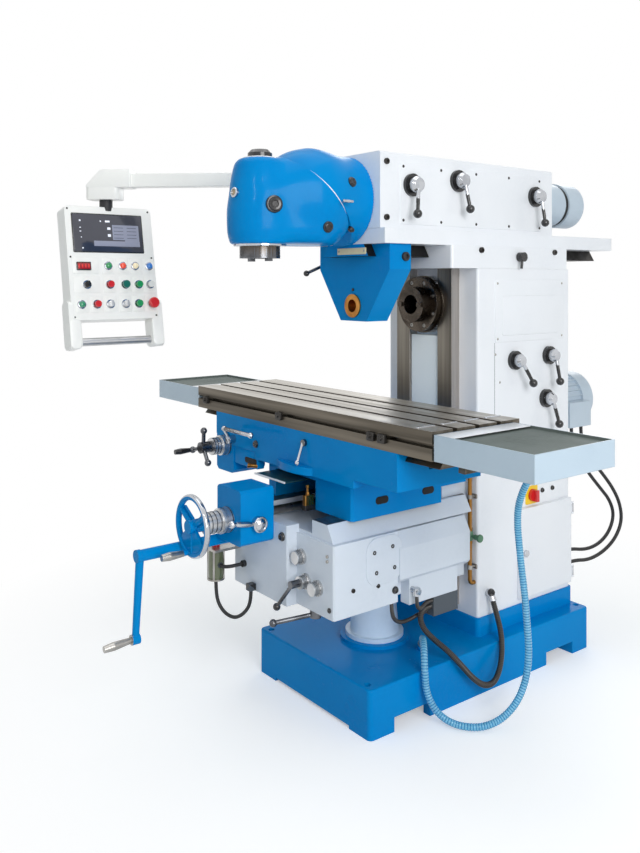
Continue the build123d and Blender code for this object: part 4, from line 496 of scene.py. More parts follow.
class Effects:
    """Shader groups that several finishes share."""

    def __init__(self) -> None:
        """Builds each group once."""
        self.edge = self.worn_edge()
        self.peel = self.orange_peel()
        self.marks = self.tool_marks()
        self.grime = self.settled_grime()

    @staticmethod
    def group(name: str, *outputs: str, **inputs: float | Point) -> tuple:
        """Opens a group with named sockets.

        Args:
            name: the group's name.
            outputs: names of the outputs: a normal is a vector, the others are values.
            inputs: default of each input: a tuple makes a vector, a number a value.

        Returns:
            The group's wiring, the inputs' sockets and the output node.
        """
        tree = bpy.data.node_groups.new(name, "ShaderNodeTree")
        kind = {True: "NodeSocketVector", False: "NodeSocketFloat"}
        for key, value in inputs.items():
            sort = kind[isinstance(value, tuple)]
            tree.interface.new_socket(key, in_out="INPUT", socket_type=sort).default_value = value
        for key in outputs:
            tree.interface.new_socket(key, in_out="OUTPUT", socket_type=kind[key == "Normal"])
        wire = Wiring(tree)
        return wire, wire.node("NodeGroupInput").outputs, wire.node("NodeGroupOutput")

    def worn_edge(self) -> bpy.types.NodeTree:
        """Rounds the shading over edges and marks them.

        The mark is 1 less the rounded normal times the true one, times a gain and cut by a noise.

        Returns:
            The group's tree.
        """
        wire, given, out = self.group("worn_edge", "Mask", "Normal", Radius=0.002, Gain=2.0)
        bevel = wire.node("ShaderNodeBevel", {"Radius": given["Radius"]}, samples=4).outputs[0]
        true = wire.node("ShaderNodeNewGeometry").outputs["Normal"]
        dot = wire.node("ShaderNodeVectorMath", {0: bevel, 1: true}, operation="DOT_PRODUCT").outputs["Value"]
        bare = wire.sum("MULTIPLY", wire.sum("SUBTRACT", 1.0, dot), given["Gain"])
        cut = wire.ramp(wire.noise(38.0, 4.0, wire.where()), (0.46, 0.66), (0.0, 1.0))
        wire.feed(out, {"Mask": wire.sum("MULTIPLY", bare, cut), "Normal": bevel})
        return wire.tree

    def orange_peel(self) -> bpy.types.NodeTree:
        """Fine waviness of sprayed enamel or moulded skin, as a height.

        Returns:
            The group's tree.
        """
        wire, given, out = self.group("orange_peel", "Height", Scale=220.0)
        wire.feed(out, {"Height": wire.noise(given["Scale"], 2.0, wire.where())})
        return wire.tree

    def tool_marks(self) -> bpy.types.NodeTree:
        """Marks of a cutter: noise on coordinates squeezed along the cut.

        The height takes a fine noise and the tone a broad one.

        Returns:
            The group's tree.
        """
        wire, given, out = self.group("tool_marks", "Height", "Tone", Squeeze=(1, 1, 1), Scale=260.0)
        squeezed = wire.node("ShaderNodeVectorMath", {0: wire.where(), 1: given["Squeeze"]},
                             operation="MULTIPLY").outputs[0]
        wire.feed(out, {"Height": wire.noise(given["Scale"], 5.0, squeezed, 0.65),
                        "Tone": wire.noise(34.0, 6.0, squeezed)})
        return wire.tree

    def settled_grime(self) -> bpy.types.NodeTree:
        """Patches of oil film and dust: a broad noise cut by a fine one.

        Returns:
            The group's tree.
        """
        wire, given, out = self.group("settled_grime", "Mask", Scale=5.0, Cover=0.4)
        where = wire.where()
        patch = wire.ramp(wire.noise(given["Scale"], 5.0, where), (0.42, 0.72), (0.0, 1.0))
        cut = wire.ramp(wire.noise(70.0, 3.0, where), (0.3, 0.7), (0.35, 1.0))
        wire.feed(out, {"Mask": wire.sum("MULTIPLY", wire.sum("MULTIPLY", patch, cut), given["Cover"])})
        return wire.tree


EFFECTS = Effects()


class Finish:
    """What every finish has: a material made once and kept under its name."""

    name: str

    def shade(self, wire: Wiring, skin: bpy.types.Node) -> None:
        """Wires the finish into its Principled shader."""
        raise NotImplementedError

    @staticmethod
    def effect(wire: Wiring, tree: bpy.types.NodeTree, **values: Value) -> bpy.types.bpy_prop_collection:
        """Outputs of a shared effect, placed with the finish's own values."""
        inputs = {key.title(): value for key, value in values.items()}
        return wire.node("ShaderNodeGroup", inputs, node_tree=tree).outputs

    @staticmethod
    def bump(wire: Wiring, height: Socket, normal: Socket, strength: float, depth: float) -> Socket:
        """Normal of the surface raised by a height over the normal given."""
        inputs = {"Strength": strength, "Distance": depth, "Height": height, "Normal": normal}
        return wire.node("ShaderNodeBump", inputs).outputs[0]

    def material(self) -> bpy.types.Material:
        """Gives the finish's material, made at its first use.

        Returns:
            The material.
        """
        made = bpy.data.materials.get(self.name)
        if not made:
            made = bpy.data.materials.new(self.name)
            made.use_nodes = True
            self.shade(Wiring(made.node_tree), made.node_tree.nodes["Principled BSDF"])
        return made


@dataclass(frozen=True)
class Paint(Finish):
    """Sprayed enamel over cast iron or sheet: orange peel, an oil film in patches, and edges rubbed thin."""

    name: str
    colour: Point
    film: Point
    bare: Point
    rough: float = 0.28
    coat: float = 0.35
    peel: float = 0.12
    grain: float = 190.0
    cover: float = 0.45
    gloss: float = 0.5

    def shade(self, wire: Wiring, skin: bpy.types.Node) -> None:
        """Colour by oil film and rubbed edges, gloss by film, height by orange peel.

        Args:
            wire: the wiring of the material's tree.
            skin: the Principled shader.
        """
        edge = self.effect(wire, EFFECTS.edge, radius=0.0022, gain=1.6)
        film = self.effect(wire, EFFECTS.grime, scale=4.5, cover=self.cover)[0]
        peel = self.effect(wire, EFFECTS.peel, scale=self.grain)[0]
        tone = wire.blend(film, linear(self.colour), linear(self.film))
        wire.feed(skin, {"Base Color": wire.blend(edge["Mask"], tone, linear(self.bare)),
                         "Roughness": wire.ramp(film, (0, 0.5), (self.rough, self.rough + 0.14)),
                         "Coat Weight": self.coat, "Coat Roughness": 0.08, "Specular IOR Level": self.gloss,
                         "Normal": self.bump(wire, peel, edge["Normal"], self.peel, 0.001)})


@dataclass(frozen=True)
class Metal(Finish):
    """Bare metal with the marks of its cutter or polish and a stain of old oil."""

    name: str
    colour: Point
    stain: Point
    rough: float = 0.3
    grain: Grain = Grain.ROUND
    scale: float = 260.0
    contrast: float = 0.7
    relief: float = 0.12

    def shade(self, wire: Wiring, skin: bpy.types.Node) -> None:
        """Colour and gloss by the broad tone of the marks, brighter on edges, height by their fine lines.

        Args:
            wire: the wiring of the material's tree.
            skin: the Principled shader.
        """
        edge = self.effect(wire, EFFECTS.edge, radius=0.0012, gain=1.2)
        marks = self.effect(wire, EFFECTS.marks, squeeze=self.grain.value, scale=self.scale)
        share = wire.ramp(marks["Tone"], (0.38, 0.68), (0.0, self.contrast))
        tone = wire.blend(share, linear(self.colour), linear(self.stain))
        bright = linear([min(255, v * 1.18 + 12) for v in self.colour])
        gloss = wire.ramp(marks["Tone"], (0.3, 0.7), (self.rough - 0.06, self.rough + 0.12))
        wire.feed(skin, {"Base Color": wire.blend(edge["Mask"], tone, bright), "Metallic": 1.0,
                         "Roughness": gloss,
                         "Normal": self.bump(wire, marks["Height"], edge["Normal"], self.relief, 0.0004)})


@dataclass(frozen=True)
class Moulded(Finish):
    """Moulded plastic, rubber or enamelled glass: fine skin, dusty patches, paler edges."""

    name: str
    colour: Point
    rough: float = 0.4
    relief: float = 0.15
    coat: float = 0.0
    dust: float = 0.35
    glow: float = 0.0

    def shade(self, wire: Wiring, skin: bpy.types.Node) -> None:
        """Colour by dust and edges, gloss by dust, height by the skin; lamps glow in their own colour.

        Args:
            wire: the wiring of the material's tree.
            skin: the Principled shader.
        """
        edge = self.effect(wire, EFFECTS.edge, radius=0.0012, gain=0.7)
        dust = self.effect(wire, EFFECTS.grime, scale=14.0, cover=self.dust)[0]
        height = self.effect(wire, EFFECTS.peel, scale=900.0)[0]
        tone = wire.blend(dust, linear(self.colour), linear([0.72 * v + 52 for v in self.colour]))
        rubbed = linear([0.7 * v + 70 for v in self.colour])
        wire.feed(skin, {"Base Color": wire.blend(edge["Mask"], tone, rubbed), "Coat Weight": self.coat,
                         "Roughness": wire.ramp(dust, (0, 0.4), (self.rough, self.rough + 0.2)),
                         "Normal": self.bump(wire, height, edge["Normal"], self.relief, 0.0003)})
        if self.glow:
            wire.feed(skin, {"Emission Color": linear(self.colour), "Emission Strength": self.glow})


@dataclass(frozen=True)
class ClearTube(Finish):
    """Clear tinted hose: a wet gloss over a milky wall, with beads of coolant inside as darker patches."""

    name: str
    colour: Point
    depth: Point

    def shade(self, wire: Wiring, skin: bpy.types.Node) -> None:
        """Colour by patches of coolant, light let through by a plain share.

        Args:
            wire: the wiring of the material's tree.
            skin: the Principled shader.
        """
        film = self.effect(wire, EFFECTS.grime, scale=18.0, cover=0.8)[0]
        peel = self.effect(wire, EFFECTS.peel, scale=400.0)[0]
        edge = self.effect(wire, EFFECTS.edge, radius=0.0008, gain=0.4)
        wire.feed(skin, {"Base Color": wire.blend(film, linear(self.colour), linear(self.depth)),
                         "Roughness": 0.16, "Transmission Weight": 0.3, "IOR": 1.3, "Coat Weight": 0.5,
                         "Normal": self.bump(wire, peel, edge["Normal"], 0.08, 0.0003)})


BLUE = Paint("blue_enamel", (0, 138, 209), (0, 114, 192), (40, 160, 216), 0.2, 0.05, peel=0.1, gloss=0.04)
WHITE = Paint("white_enamel", (240, 242, 246), (226, 230, 236), (205, 208, 210), 0.3, 0.3)
GREY = Paint("grey_enamel", (214, 222, 232), (196, 206, 218), (186, 190, 194), 0.32, 0.25)
PALE_BLUE = Paint("pale_blue_enamel", (212, 230, 248), (192, 214, 236), (222, 230, 236), 0.32, 0.2)
TRAY = Paint("tray_enamel", (186, 204, 218), (166, 186, 202), (206, 214, 220), 0.34, 0.2, peel=0.06)
TRAY_BED = Paint("tray_bed", (101, 110, 106), (88, 95, 92), (136, 142, 140), 0.6, 0.0, peel=0.35, grain=420.0,
                 cover=0.8, gloss=0.3)
MOTOR = Paint("motor_enamel", (192, 206, 218), (172, 188, 202), (182, 188, 192), 0.36, 0.15, peel=0.2)
PANEL = Paint("panel_enamel", (252, 251, 247), (243, 242, 238), (232, 232, 230), 0.3, 0.2, peel=0.05)
STRIP = Paint("strip_cover_enamel", (244, 252, 255), (228, 242, 250), (222, 232, 240), 0.34, 0.1)
TEAL = Paint("teal_cover", (18, 62, 72), (12, 42, 50), (60, 96, 104), 0.4, 0.1, gloss=0.3)
IVORY = Paint("ivory_plate", (226, 214, 176), (204, 190, 150), (190, 180, 160), 0.4, 0.1)
YELLOW = Paint("yellow_plate", (246, 206, 24), (226, 184, 20), (214, 190, 90), 0.35, 0.2, peel=0.04)
BOX_GREY = Paint("switch_box_enamel", (72, 80, 88), (56, 62, 70), (120, 126, 130), 0.5, 0.0, peel=0.3)
GREEN_VALVE = Paint("valve_green", (74, 124, 92), (52, 92, 66), (150, 160, 140), 0.35, 0.2)
STEEL = Metal("ground_steel", (176, 174, 170), (128, 124, 118), 0.3)
WAYS = Metal("scraped_ways", (130, 125, 116), (86, 82, 76), 0.34, Grain.ALONG_Z, contrast=0.9, relief=0.2)
# Lighter metal for the side faces of the ways: a painted highlight.
WAY_SIDE_HIGHLIGHT = Metal("way_side_painted_highlight", (206, 200, 194), (160, 154, 148), 0.28, Grain.ALONG_Z, relief=0.1)
DARK_STEEL = Metal("oiled_steel", (74, 72, 70), (46, 44, 42), 0.42, contrast=0.8)
OILED = Metal("oiled_polish", (92, 84, 76), (54, 48, 42), 0.24, contrast=0.8, relief=0.06)
IRON = Metal("milled_iron", (116, 109, 98), (76, 71, 63), 0.4, Grain.ALONG_X, 420.0, 0.95, 0.25)
TABLE_TOP = Metal("ground_table", (192, 188, 180), (152, 146, 137), 0.36, Grain.ALONG_X, 420.0, 0.9, 0.2)
CHROME = Metal("polished_chrome", (198, 201, 206), (150, 153, 158), 0.12, contrast=0.5, relief=0.03)
DARK_CHROME = Metal("dark_chrome", (112, 114, 118), (64, 66, 70), 0.2, contrast=0.8, relief=0.04)
SATIN = Metal("satin_dial", (204, 205, 206), (168, 168, 168), 0.3, contrast=0.5, relief=0.08)
BRONZE = Metal("cast_bronze", (206, 146, 74), (150, 96, 46), 0.3, contrast=0.8)
BRASS = Metal("old_brass", (164, 118, 60), (92, 62, 30), 0.28, Grain.ALONG_Z, contrast=0.9)
BLACK = Moulded("black_phenolic", (22, 22, 24), 0.24, coat=0.3, relief=0.06, dust=0.15)
SOFT_BLACK = Moulded("black_rubber_skin", (26, 26, 27), 0.55, relief=0.25)
# Near-black finish laid where a recess would show only shade: painted shade.
RECESS_SHADE = Moulded("painted_recess_shade", (10, 8, 8), 0.8, relief=0.1, dust=0.05)
CONDUIT = Moulded("dark_conduit", (44, 38, 33), 0.34, relief=0.1, coat=0.2)
# Near-black for the valleys between the conduit's ribs: painted shade.
CONDUIT_VALLEY_SHADE = Moulded("conduit_valley_painted_shade", (18, 16, 14), 0.5, relief=0.1)
CAP = partial(Moulded, rough=0.28, coat=0.4, relief=0.05, dust=0.15)
RED = CAP("red_cap", (212, 28, 32))
GREEN = CAP("green_cap", (26, 150, 84))
DARK_GREEN = CAP("dark_green_cap", (14, 104, 88))
WHITE_CAP = CAP("white_cap", (232, 232, 228), rough=0.3, coat=0.3)
LENS = partial(Moulded, rough=0.2, coat=0.6, relief=0.03, dust=0.1)
CREAM_LENS = LENS("cream_lens", (244, 228, 190), rough=0.22, glow=0.12)
GREEN_LENS = LENS("green_lens", (24, 142, 78), glow=0.1)
LIT_LENS = LENS("lit_green_lens", (36, 138, 98), dust=0.05, glow=0.12)
RED_LENS = LENS("red_lens", (238, 64, 30), glow=0.15)
BLUE_LENS = LENS("blue_lens", (28, 116, 200), glow=0.1)
LIT = partial(Moulded, rough=0.2, relief=0.01, dust=0.05)
SCREEN = LIT("screen_glass", (46, 48, 60), rough=0.1, coat=0.8, dust=0.1, glow=0.25)
SCREEN_MID = LIT("screen_panel", (128, 132, 150), glow=0.35)
SCREEN_LIT = LIT("screen_mark", (214, 218, 228), glow=0.6)
LED = LIT("led_glow", (150, 18, 26), coat=0.5, glow=0.15)
LED_MARK = LIT("led_digit", (206, 44, 40), glow=0.3)
OIL_GLASS = Moulded("oil_bottle", (92, 100, 68), 0.12, coat=0.8, relief=0.02, dust=0.3)
SIGHT_GLASS = Moulded("sight_glass", (168, 142, 96), 0.08, coat=0.9, relief=0.01, dust=0.1)
HOSE_BLUE = ClearTube("clear_blue_hose", (134, 208, 238), (92, 184, 226))
# Deeper blue for the valleys between the hose's ribs: painted shade.
HOSE_VALLEY_SHADE = ClearTube("hose_valley_painted_shade", (40, 146, 202), (22, 122, 184))


# Pieces and masks

Part = tuple[Shell | list[Shell], Finish]


def placed(name: str, data: bpy.types.ID) -> bpy.types.Object:
    """Puts a new object into the scene.

    Args:
        name: the object's name.
        data: the mesh, curve, camera or lamp that it shows.

    Returns:
        The object.
    """
    made = bpy.data.objects.new(name, data)
    bpy.context.scene.collection.objects.link(made)
    return made


def piece(name: str, parts: Sequence[Part], body: str | None,
          sharp: float = 32.0) -> bpy.types.Object:
    """Makes one object from shells and lets it ride a body.

    Args:
        name: the piece's name.
        parts: shells or lists of shells, each with its finish.
        body: the CAD body that it moves with, or None.
        sharp: angle in degrees past which an edge shows sharp.

    Returns:
        The object.
    """
    shells = [join(part) if isinstance(part, list) else part for part, _ in parts]
    finishes = list(dict.fromkeys(finish for _, finish in parts))
    slots = [finishes.index(finish) for _, finish in parts]
    whole = join(shells)
    mesh = bpy.data.meshes.new(name)
    faces = whole.quads.tolist() + [cap.tolist() for cap in whole.caps]
    mesh.from_pydata((whole.points * MM).tolist(), [], faces)
    counts = [len(s.quads) for s in shells] + [len(s.caps) for s in shells]
    index = np.repeat(slots * 2, counts).astype(np.int32)
    for finish in finishes:
        mesh.materials.append(finish.material())
    mesh.polygons.foreach_set("material_index", index)
    mesh.polygons.foreach_set("use_smooth", np.ones(len(index), bool))
    mesh.set_sharp_from_angle(angle=math.radians(sharp))
    mesh.update()
    made = placed(name, mesh)
    if body:
        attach(made, body)
    LOG.info("%s on %s, %d faces", name, body, len(index))
    return made


def within(x: Point = (-9e9, 9e9), y: Point = (-9e9, 9e9), z: Point = (-9e9, 9e9)) -> Mask:
    """Mask of the faces whose middle lies in a box."""
    low, high = np.array([x, y, z], float).T
    return lambda centre, normal: np.all((centre > low) & (centre < high), axis=1)


def axis_distance(centre: np.ndarray, place: Point, drop: int) -> np.ndarray:
    """Distance of points from an axis that runs along the dropped coordinate."""
    keep = [k for k in range(3) if k != drop]
    return np.linalg.norm(centre[:, keep] - np.asarray(place, float), axis=1)


def far_from(place: Point, drop: int, reach: float) -> Mask:
    """Mask of the outermost part of a lever.

    Args:
        place: the two coordinates of the lever's axis.
        drop: number of the coordinate along the axis.
        reach: length of the part, back from the farthest face.

    Returns:
        The mask.
    """
    def mask(centre: np.ndarray, normal: np.ndarray) -> np.ndarray:
        """Distance from the axis against its greatest value."""
        away = axis_distance(centre, place, drop)
        return away > away.max() - reach

    return mask


def about(place: Point, drop: int, inner: float = -1.0, outer: float = 9e9) -> Mask:
    """Mask of the faces between two distances from an axis.

    Args:
        place: the two coordinates of the axis.
        drop: number of the coordinate along the axis.
        inner: the lesser distance.
        outer: the greater distance.

    Returns:
        The mask.
    """
    def mask(centre: np.ndarray, normal: np.ndarray) -> np.ndarray:
        """Distance from the axis against its two bounds."""
        away = axis_distance(centre, place, drop)
        return (away > inner) & (away < outer)

    return mask


def along(axis: int) -> Mask:
    """Mask of the faces that look along an axis, either way."""
    return lambda centre, normal: np.abs(normal[:, axis]) > 0.5


def across(axis: int) -> Mask:
    """Mask of the faces that look across an axis."""
    return lambda centre, normal: np.abs(normal[:, axis]) < 0.5


def upward(centre: np.ndarray, normal: np.ndarray) -> np.ndarray:
    """Mask of the faces that look up."""
    return normal[:, 2] > 0.5


def both(first: Mask, second: Mask) -> Mask:
    """Mask of the faces that two masks share."""
    return lambda centre, normal: first(centre, normal) & second(centre, normal)


def dress(node: str, base: Finish, *layers: tuple[Finish, Mask]) -> None:
    """Gives a CAD node its finishes, face by face.

    Args:
        node: the CAD node.
        base: finish of every face that no mask takes.
        layers: further finishes with their masks, the later over the earlier.
    """
    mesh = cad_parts[node].data
    count = len(mesh.polygons)
    centre, normal = np.empty(count * 3), np.empty(count * 3)
    mesh.polygons.foreach_get("center", centre)
    mesh.polygons.foreach_get("normal", normal)
    centre, normal = centre.reshape(-1, 3) / MM, normal.reshape(-1, 3)
    index = np.zeros(count, np.int32)
    mesh.materials.clear()
    mesh.materials.append(base.material())
    for k, (finish, mask) in enumerate(layers, 1):
        mesh.materials.append(finish.material())
        index[mask(centre, normal)] = k
    mesh.polygons.foreach_set("material_index", index)
    mesh.update()


def dress_plain(finishes: dict[str, Finish]) -> None:
    """Gives CAD nodes one finish each."""
    for node, finish in finishes.items():
        dress(node, finish)


def dress_levers(places: dict[str, Point], hub: float, grip: float) -> None:
    """Gives levers chrome arms with black hubs and grips.

    Args:
        places: Y and Z of each lever's axis by its node.
        hub: X that the hubs reach to.
        grip: length of the grips.
    """
    for name, place in places.items():
        dress(name, CHROME, (BLACK, within(x=(0, hub))), (BLACK, far_from(place, 0, grip)))


def on_surface(target: bpy.types.Object, through: Point) -> tuple[np.ndarray, np.ndarray]:
    """Finds where the line from the camera through a point meets an object.

    Args:
        target: the object.
        through: the point.

    Returns:
        The place on the surface and its outward normal.
    """
    eye = Vector(EYE)
    hit, place, normal, _ = target.ray_cast(eye, (Vector(through) * MM - eye).normalized())
    if not hit:
        raise ValueError(f"no surface of {target.name} behind {tuple(through)}")
    return np.array(place) / MM, np.array(normal)


def dial_marks(name: str, body: str, centre: Point, ticks: tuple[float, float, int, float, float],
               rings: Sequence[Point], sides: int) -> None:
    """Ticks and knurled rings round a dial on an axis along Y.

    Args:
        name: the piece's name.
        body: the body that carries the dial.
        centre: X and Z of the axis.
        ticks: radius, Y, number, and the lengths of every fifth tick and of the others.
        rings: radius and Y of each ring.
        sides: points round a ring.
    """
    radius, y, count, long, short = ticks
    marks = []
    for k in range(count):
        place, side, _ = on_circle(centre, radius, 2 * np.pi * k / count, y)
        marks.append(slab((0.9, short if k % 5 else long, 0.5), place, side, BACK, 0.2, 0.1))
    bands = [washer(r + 0.8, r - 1, at, at - 3, (centre[0], 0, centre[1]), BACK, sides) for r, at in rings]
    piece(name, [(marks, BLACK), (bands, DARK_CHROME)], body)


# Studio

@dataclass
class Studio:
    """Camera, lights, floor and white surround, in metres; a lamp has a place, a target, a size and watts."""

    yaw: float = 52.35
    lens: float = 35.8
    drop: float = -0.1713
    floor_half: float = 14.0
    lamps: Sequence[tuple[str, Point, Point, float, float]] = (
        ("key", (4.3, -1.5, 2.4), (0, -0.2, 0.9), 2.4, 128.0),
        ("top", (-0.4, -0.6, 4.3), (0, -0.3, 0.9), 3.0, 38.0),
        ("fill", (-1.6, -4.2, 2.3), (0, -0.2, 0.9), 2.6, 6.0),
        ("back", (-2.2, 3.4, 2.8), (0, 0.2, 0.9), 2.6, 42.0),
        ("glint", (1.7, -3.4, 2.9), (0, -0.6, 1.5), 0.3, 5.0))

    def build(self) -> None:
        """Sets the camera, soft lamps with one small glint, floor and world."""
        camera = bpy.data.cameras.new("camera")
        camera.lens, camera.shift_y, camera.clip_end = self.lens, self.drop, 60.0
        holder = placed("camera", camera)
        holder.location = EYE
        holder.rotation_euler = (math.pi / 2, 0, math.radians(self.yaw))
        bpy.context.scene.camera = holder
        bpy.context.scene.view_settings.view_transform = "Standard"
        for lamp in self.lamps:
            self.lamp(*lamp)
        self.floor()
        self.surround()

    def lamp(self, name: str, place: Point, target: Point, size: float, power: float) -> None:
        """Hangs a square soft lamp.

        Args:
            name: the lamp's name.
            place: where it hangs.
            target: the point that it looks at.
            size: length of its side.
            power: watts.
        """
        light = bpy.data.lights.new(name, "AREA")
        light.size, light.energy = size, power
        holder = placed(name, light)
        holder.location = place
        holder.rotation_euler = (Vector(target) - Vector(place)).to_track_quat("-Z", "Y").to_euler()

    @staticmethod
    def seen(wire: Wiring) -> Socket:
        """Tells the rays of the picture from those that carry light.

        Args:
            wire: the wiring of the tree that asks.

        Returns:
            1 for a ray from the camera, a mirror or glass, and 0 for any other.
        """
        path = wire.node("ShaderNodeLightPath").outputs
        mirror = wire.sum("ADD", path["Is Glossy Ray"], path["Is Transmission Ray"])
        return wire.sum("ADD", path["Is Camera Ray"], mirror)

    def floor(self) -> None:
        """Lays a plain pale floor that keeps the shadow and turns white away from the machine."""
        half = self.floor_half
        mesh = bpy.data.meshes.new("floor")
        corners = [(-half, -half, 0), (half, -half, 0), (half, half, 0), (-half, half, 0)]
        mesh.from_pydata(corners, [], [(0, 1, 2, 3)])
        floor = placed("floor", mesh)
        pale = bpy.data.materials.new("pale_floor")
        pale.use_nodes = True
        wire = Wiring(pale.node_tree)
        skin = pale.node_tree.nodes["Principled BSDF"]
        wire.feed(skin, {"Base Color": (0.84, 0.84, 0.84, 1), "Roughness": 0.7, "Specular IOR Level": 0.1})
        glow = wire.node("ShaderNodeEmission", {"Strength": 0.34}).outputs[0]
        lift = wire.node("ShaderNodeAddShader", {0: skin.outputs[0], 1: glow}).outputs[0]
        seen = self.seen(wire)
        mix = wire.node("ShaderNodeMixShader", {0: seen, 1: skin.outputs[0], 2: lift}).outputs[0]
        away = wire.node("ShaderNodeVectorMath", {0: wire.where()}, operation="LENGTH").outputs["Value"]
        share = wire.sum("MULTIPLY", seen, wire.ramp(away, (0.9, 2.0), (0.0, 1.0)))
        white = wire.node("ShaderNodeEmission", {"Strength": 1.0}).outputs[0]
        faded = wire.node("ShaderNodeMixShader", {0: share, 1: mix, 2: white}).outputs[0]
        wire.feed(pale.node_tree.nodes["Material Output"], {"Surface": faded})
        mesh.materials.append(pale)

    def surround(self) -> None:
        """Makes the world white to the eye and a soft grey as light."""
        world = bpy.data.worlds.new("surround")
        bpy.context.scene.world = world
        world.use_nodes = True
        wire = Wiring(world.node_tree)
        soft = world.node_tree.nodes["Background"]
        wire.feed(soft, {"Color": (0.86, 0.96, 1.0, 1), "Strength": 0.33})
        white = wire.node("ShaderNodeBackground", {"Color": (1, 1, 1, 1), "Strength": 1.0}).outputs[0]
        mix = wire.node("ShaderNodeMixShader", {0: self.seen(wire), 1: soft.outputs[0], 2: white}).outputs[0]
        wire.feed(world.node_tree.nodes["World Output"], {"Surface": mix})


# Cords

def smooth_line(name: str, route: Sequence[Point], step: float) -> np.ndarray:
    """Reads even points along the NURBS curve that has a route's points as its control points.

    Args:
        name: name of the curve while it lasts.
        route: the control points.
        step: distance between the points.

    Returns:
        The points as (n, 3).
    """
    curve = bpy.data.curves.new(name, "CURVE")
    curve.dimensions = "3D"
    curve.resolution_u = 32
    spline = curve.splines.new("NURBS")
    spline.points.add(len(route) - 1)
    spline.points.foreach_set("co", np.array([(*np.asarray(p) * MM, 1.0) for p in route]).ravel())
    spline.order_u = 3
    spline.use_endpoint_u = True
    holder = placed(name, curve)
    bpy.context.view_layer.update()
    mesh = bpy.data.meshes.new_from_object(holder.evaluated_get(bpy.context.evaluated_depsgraph_get()))
    points = np.empty(len(mesh.vertices) * 3)
    mesh.vertices.foreach_get("co", points)
    bpy.data.objects.remove(holder)
    bpy.data.curves.remove(curve)
    bpy.data.meshes.remove(mesh)
    points = points.reshape(-1, 3) / MM
    along = np.concatenate([[0], np.cumsum(np.linalg.norm(np.diff(points, axis=0), axis=1))])
    even = np.linspace(0, along[-1], max(int(round(along[-1] / step)), 8) + 1)
    return np.stack([np.interp(even, along, points[:, k]) for k in range(3)], 1)


@dataclass(frozen=True)
class Cable:
    """Cable or thin hose, its length and diameter in metres; with a pitch its wall has shallow rings."""

    name: str
    length: float
    diameter: float
    body: str
    node: str
    finish: Finish
    pitch: float
    route: Sequence[Point]


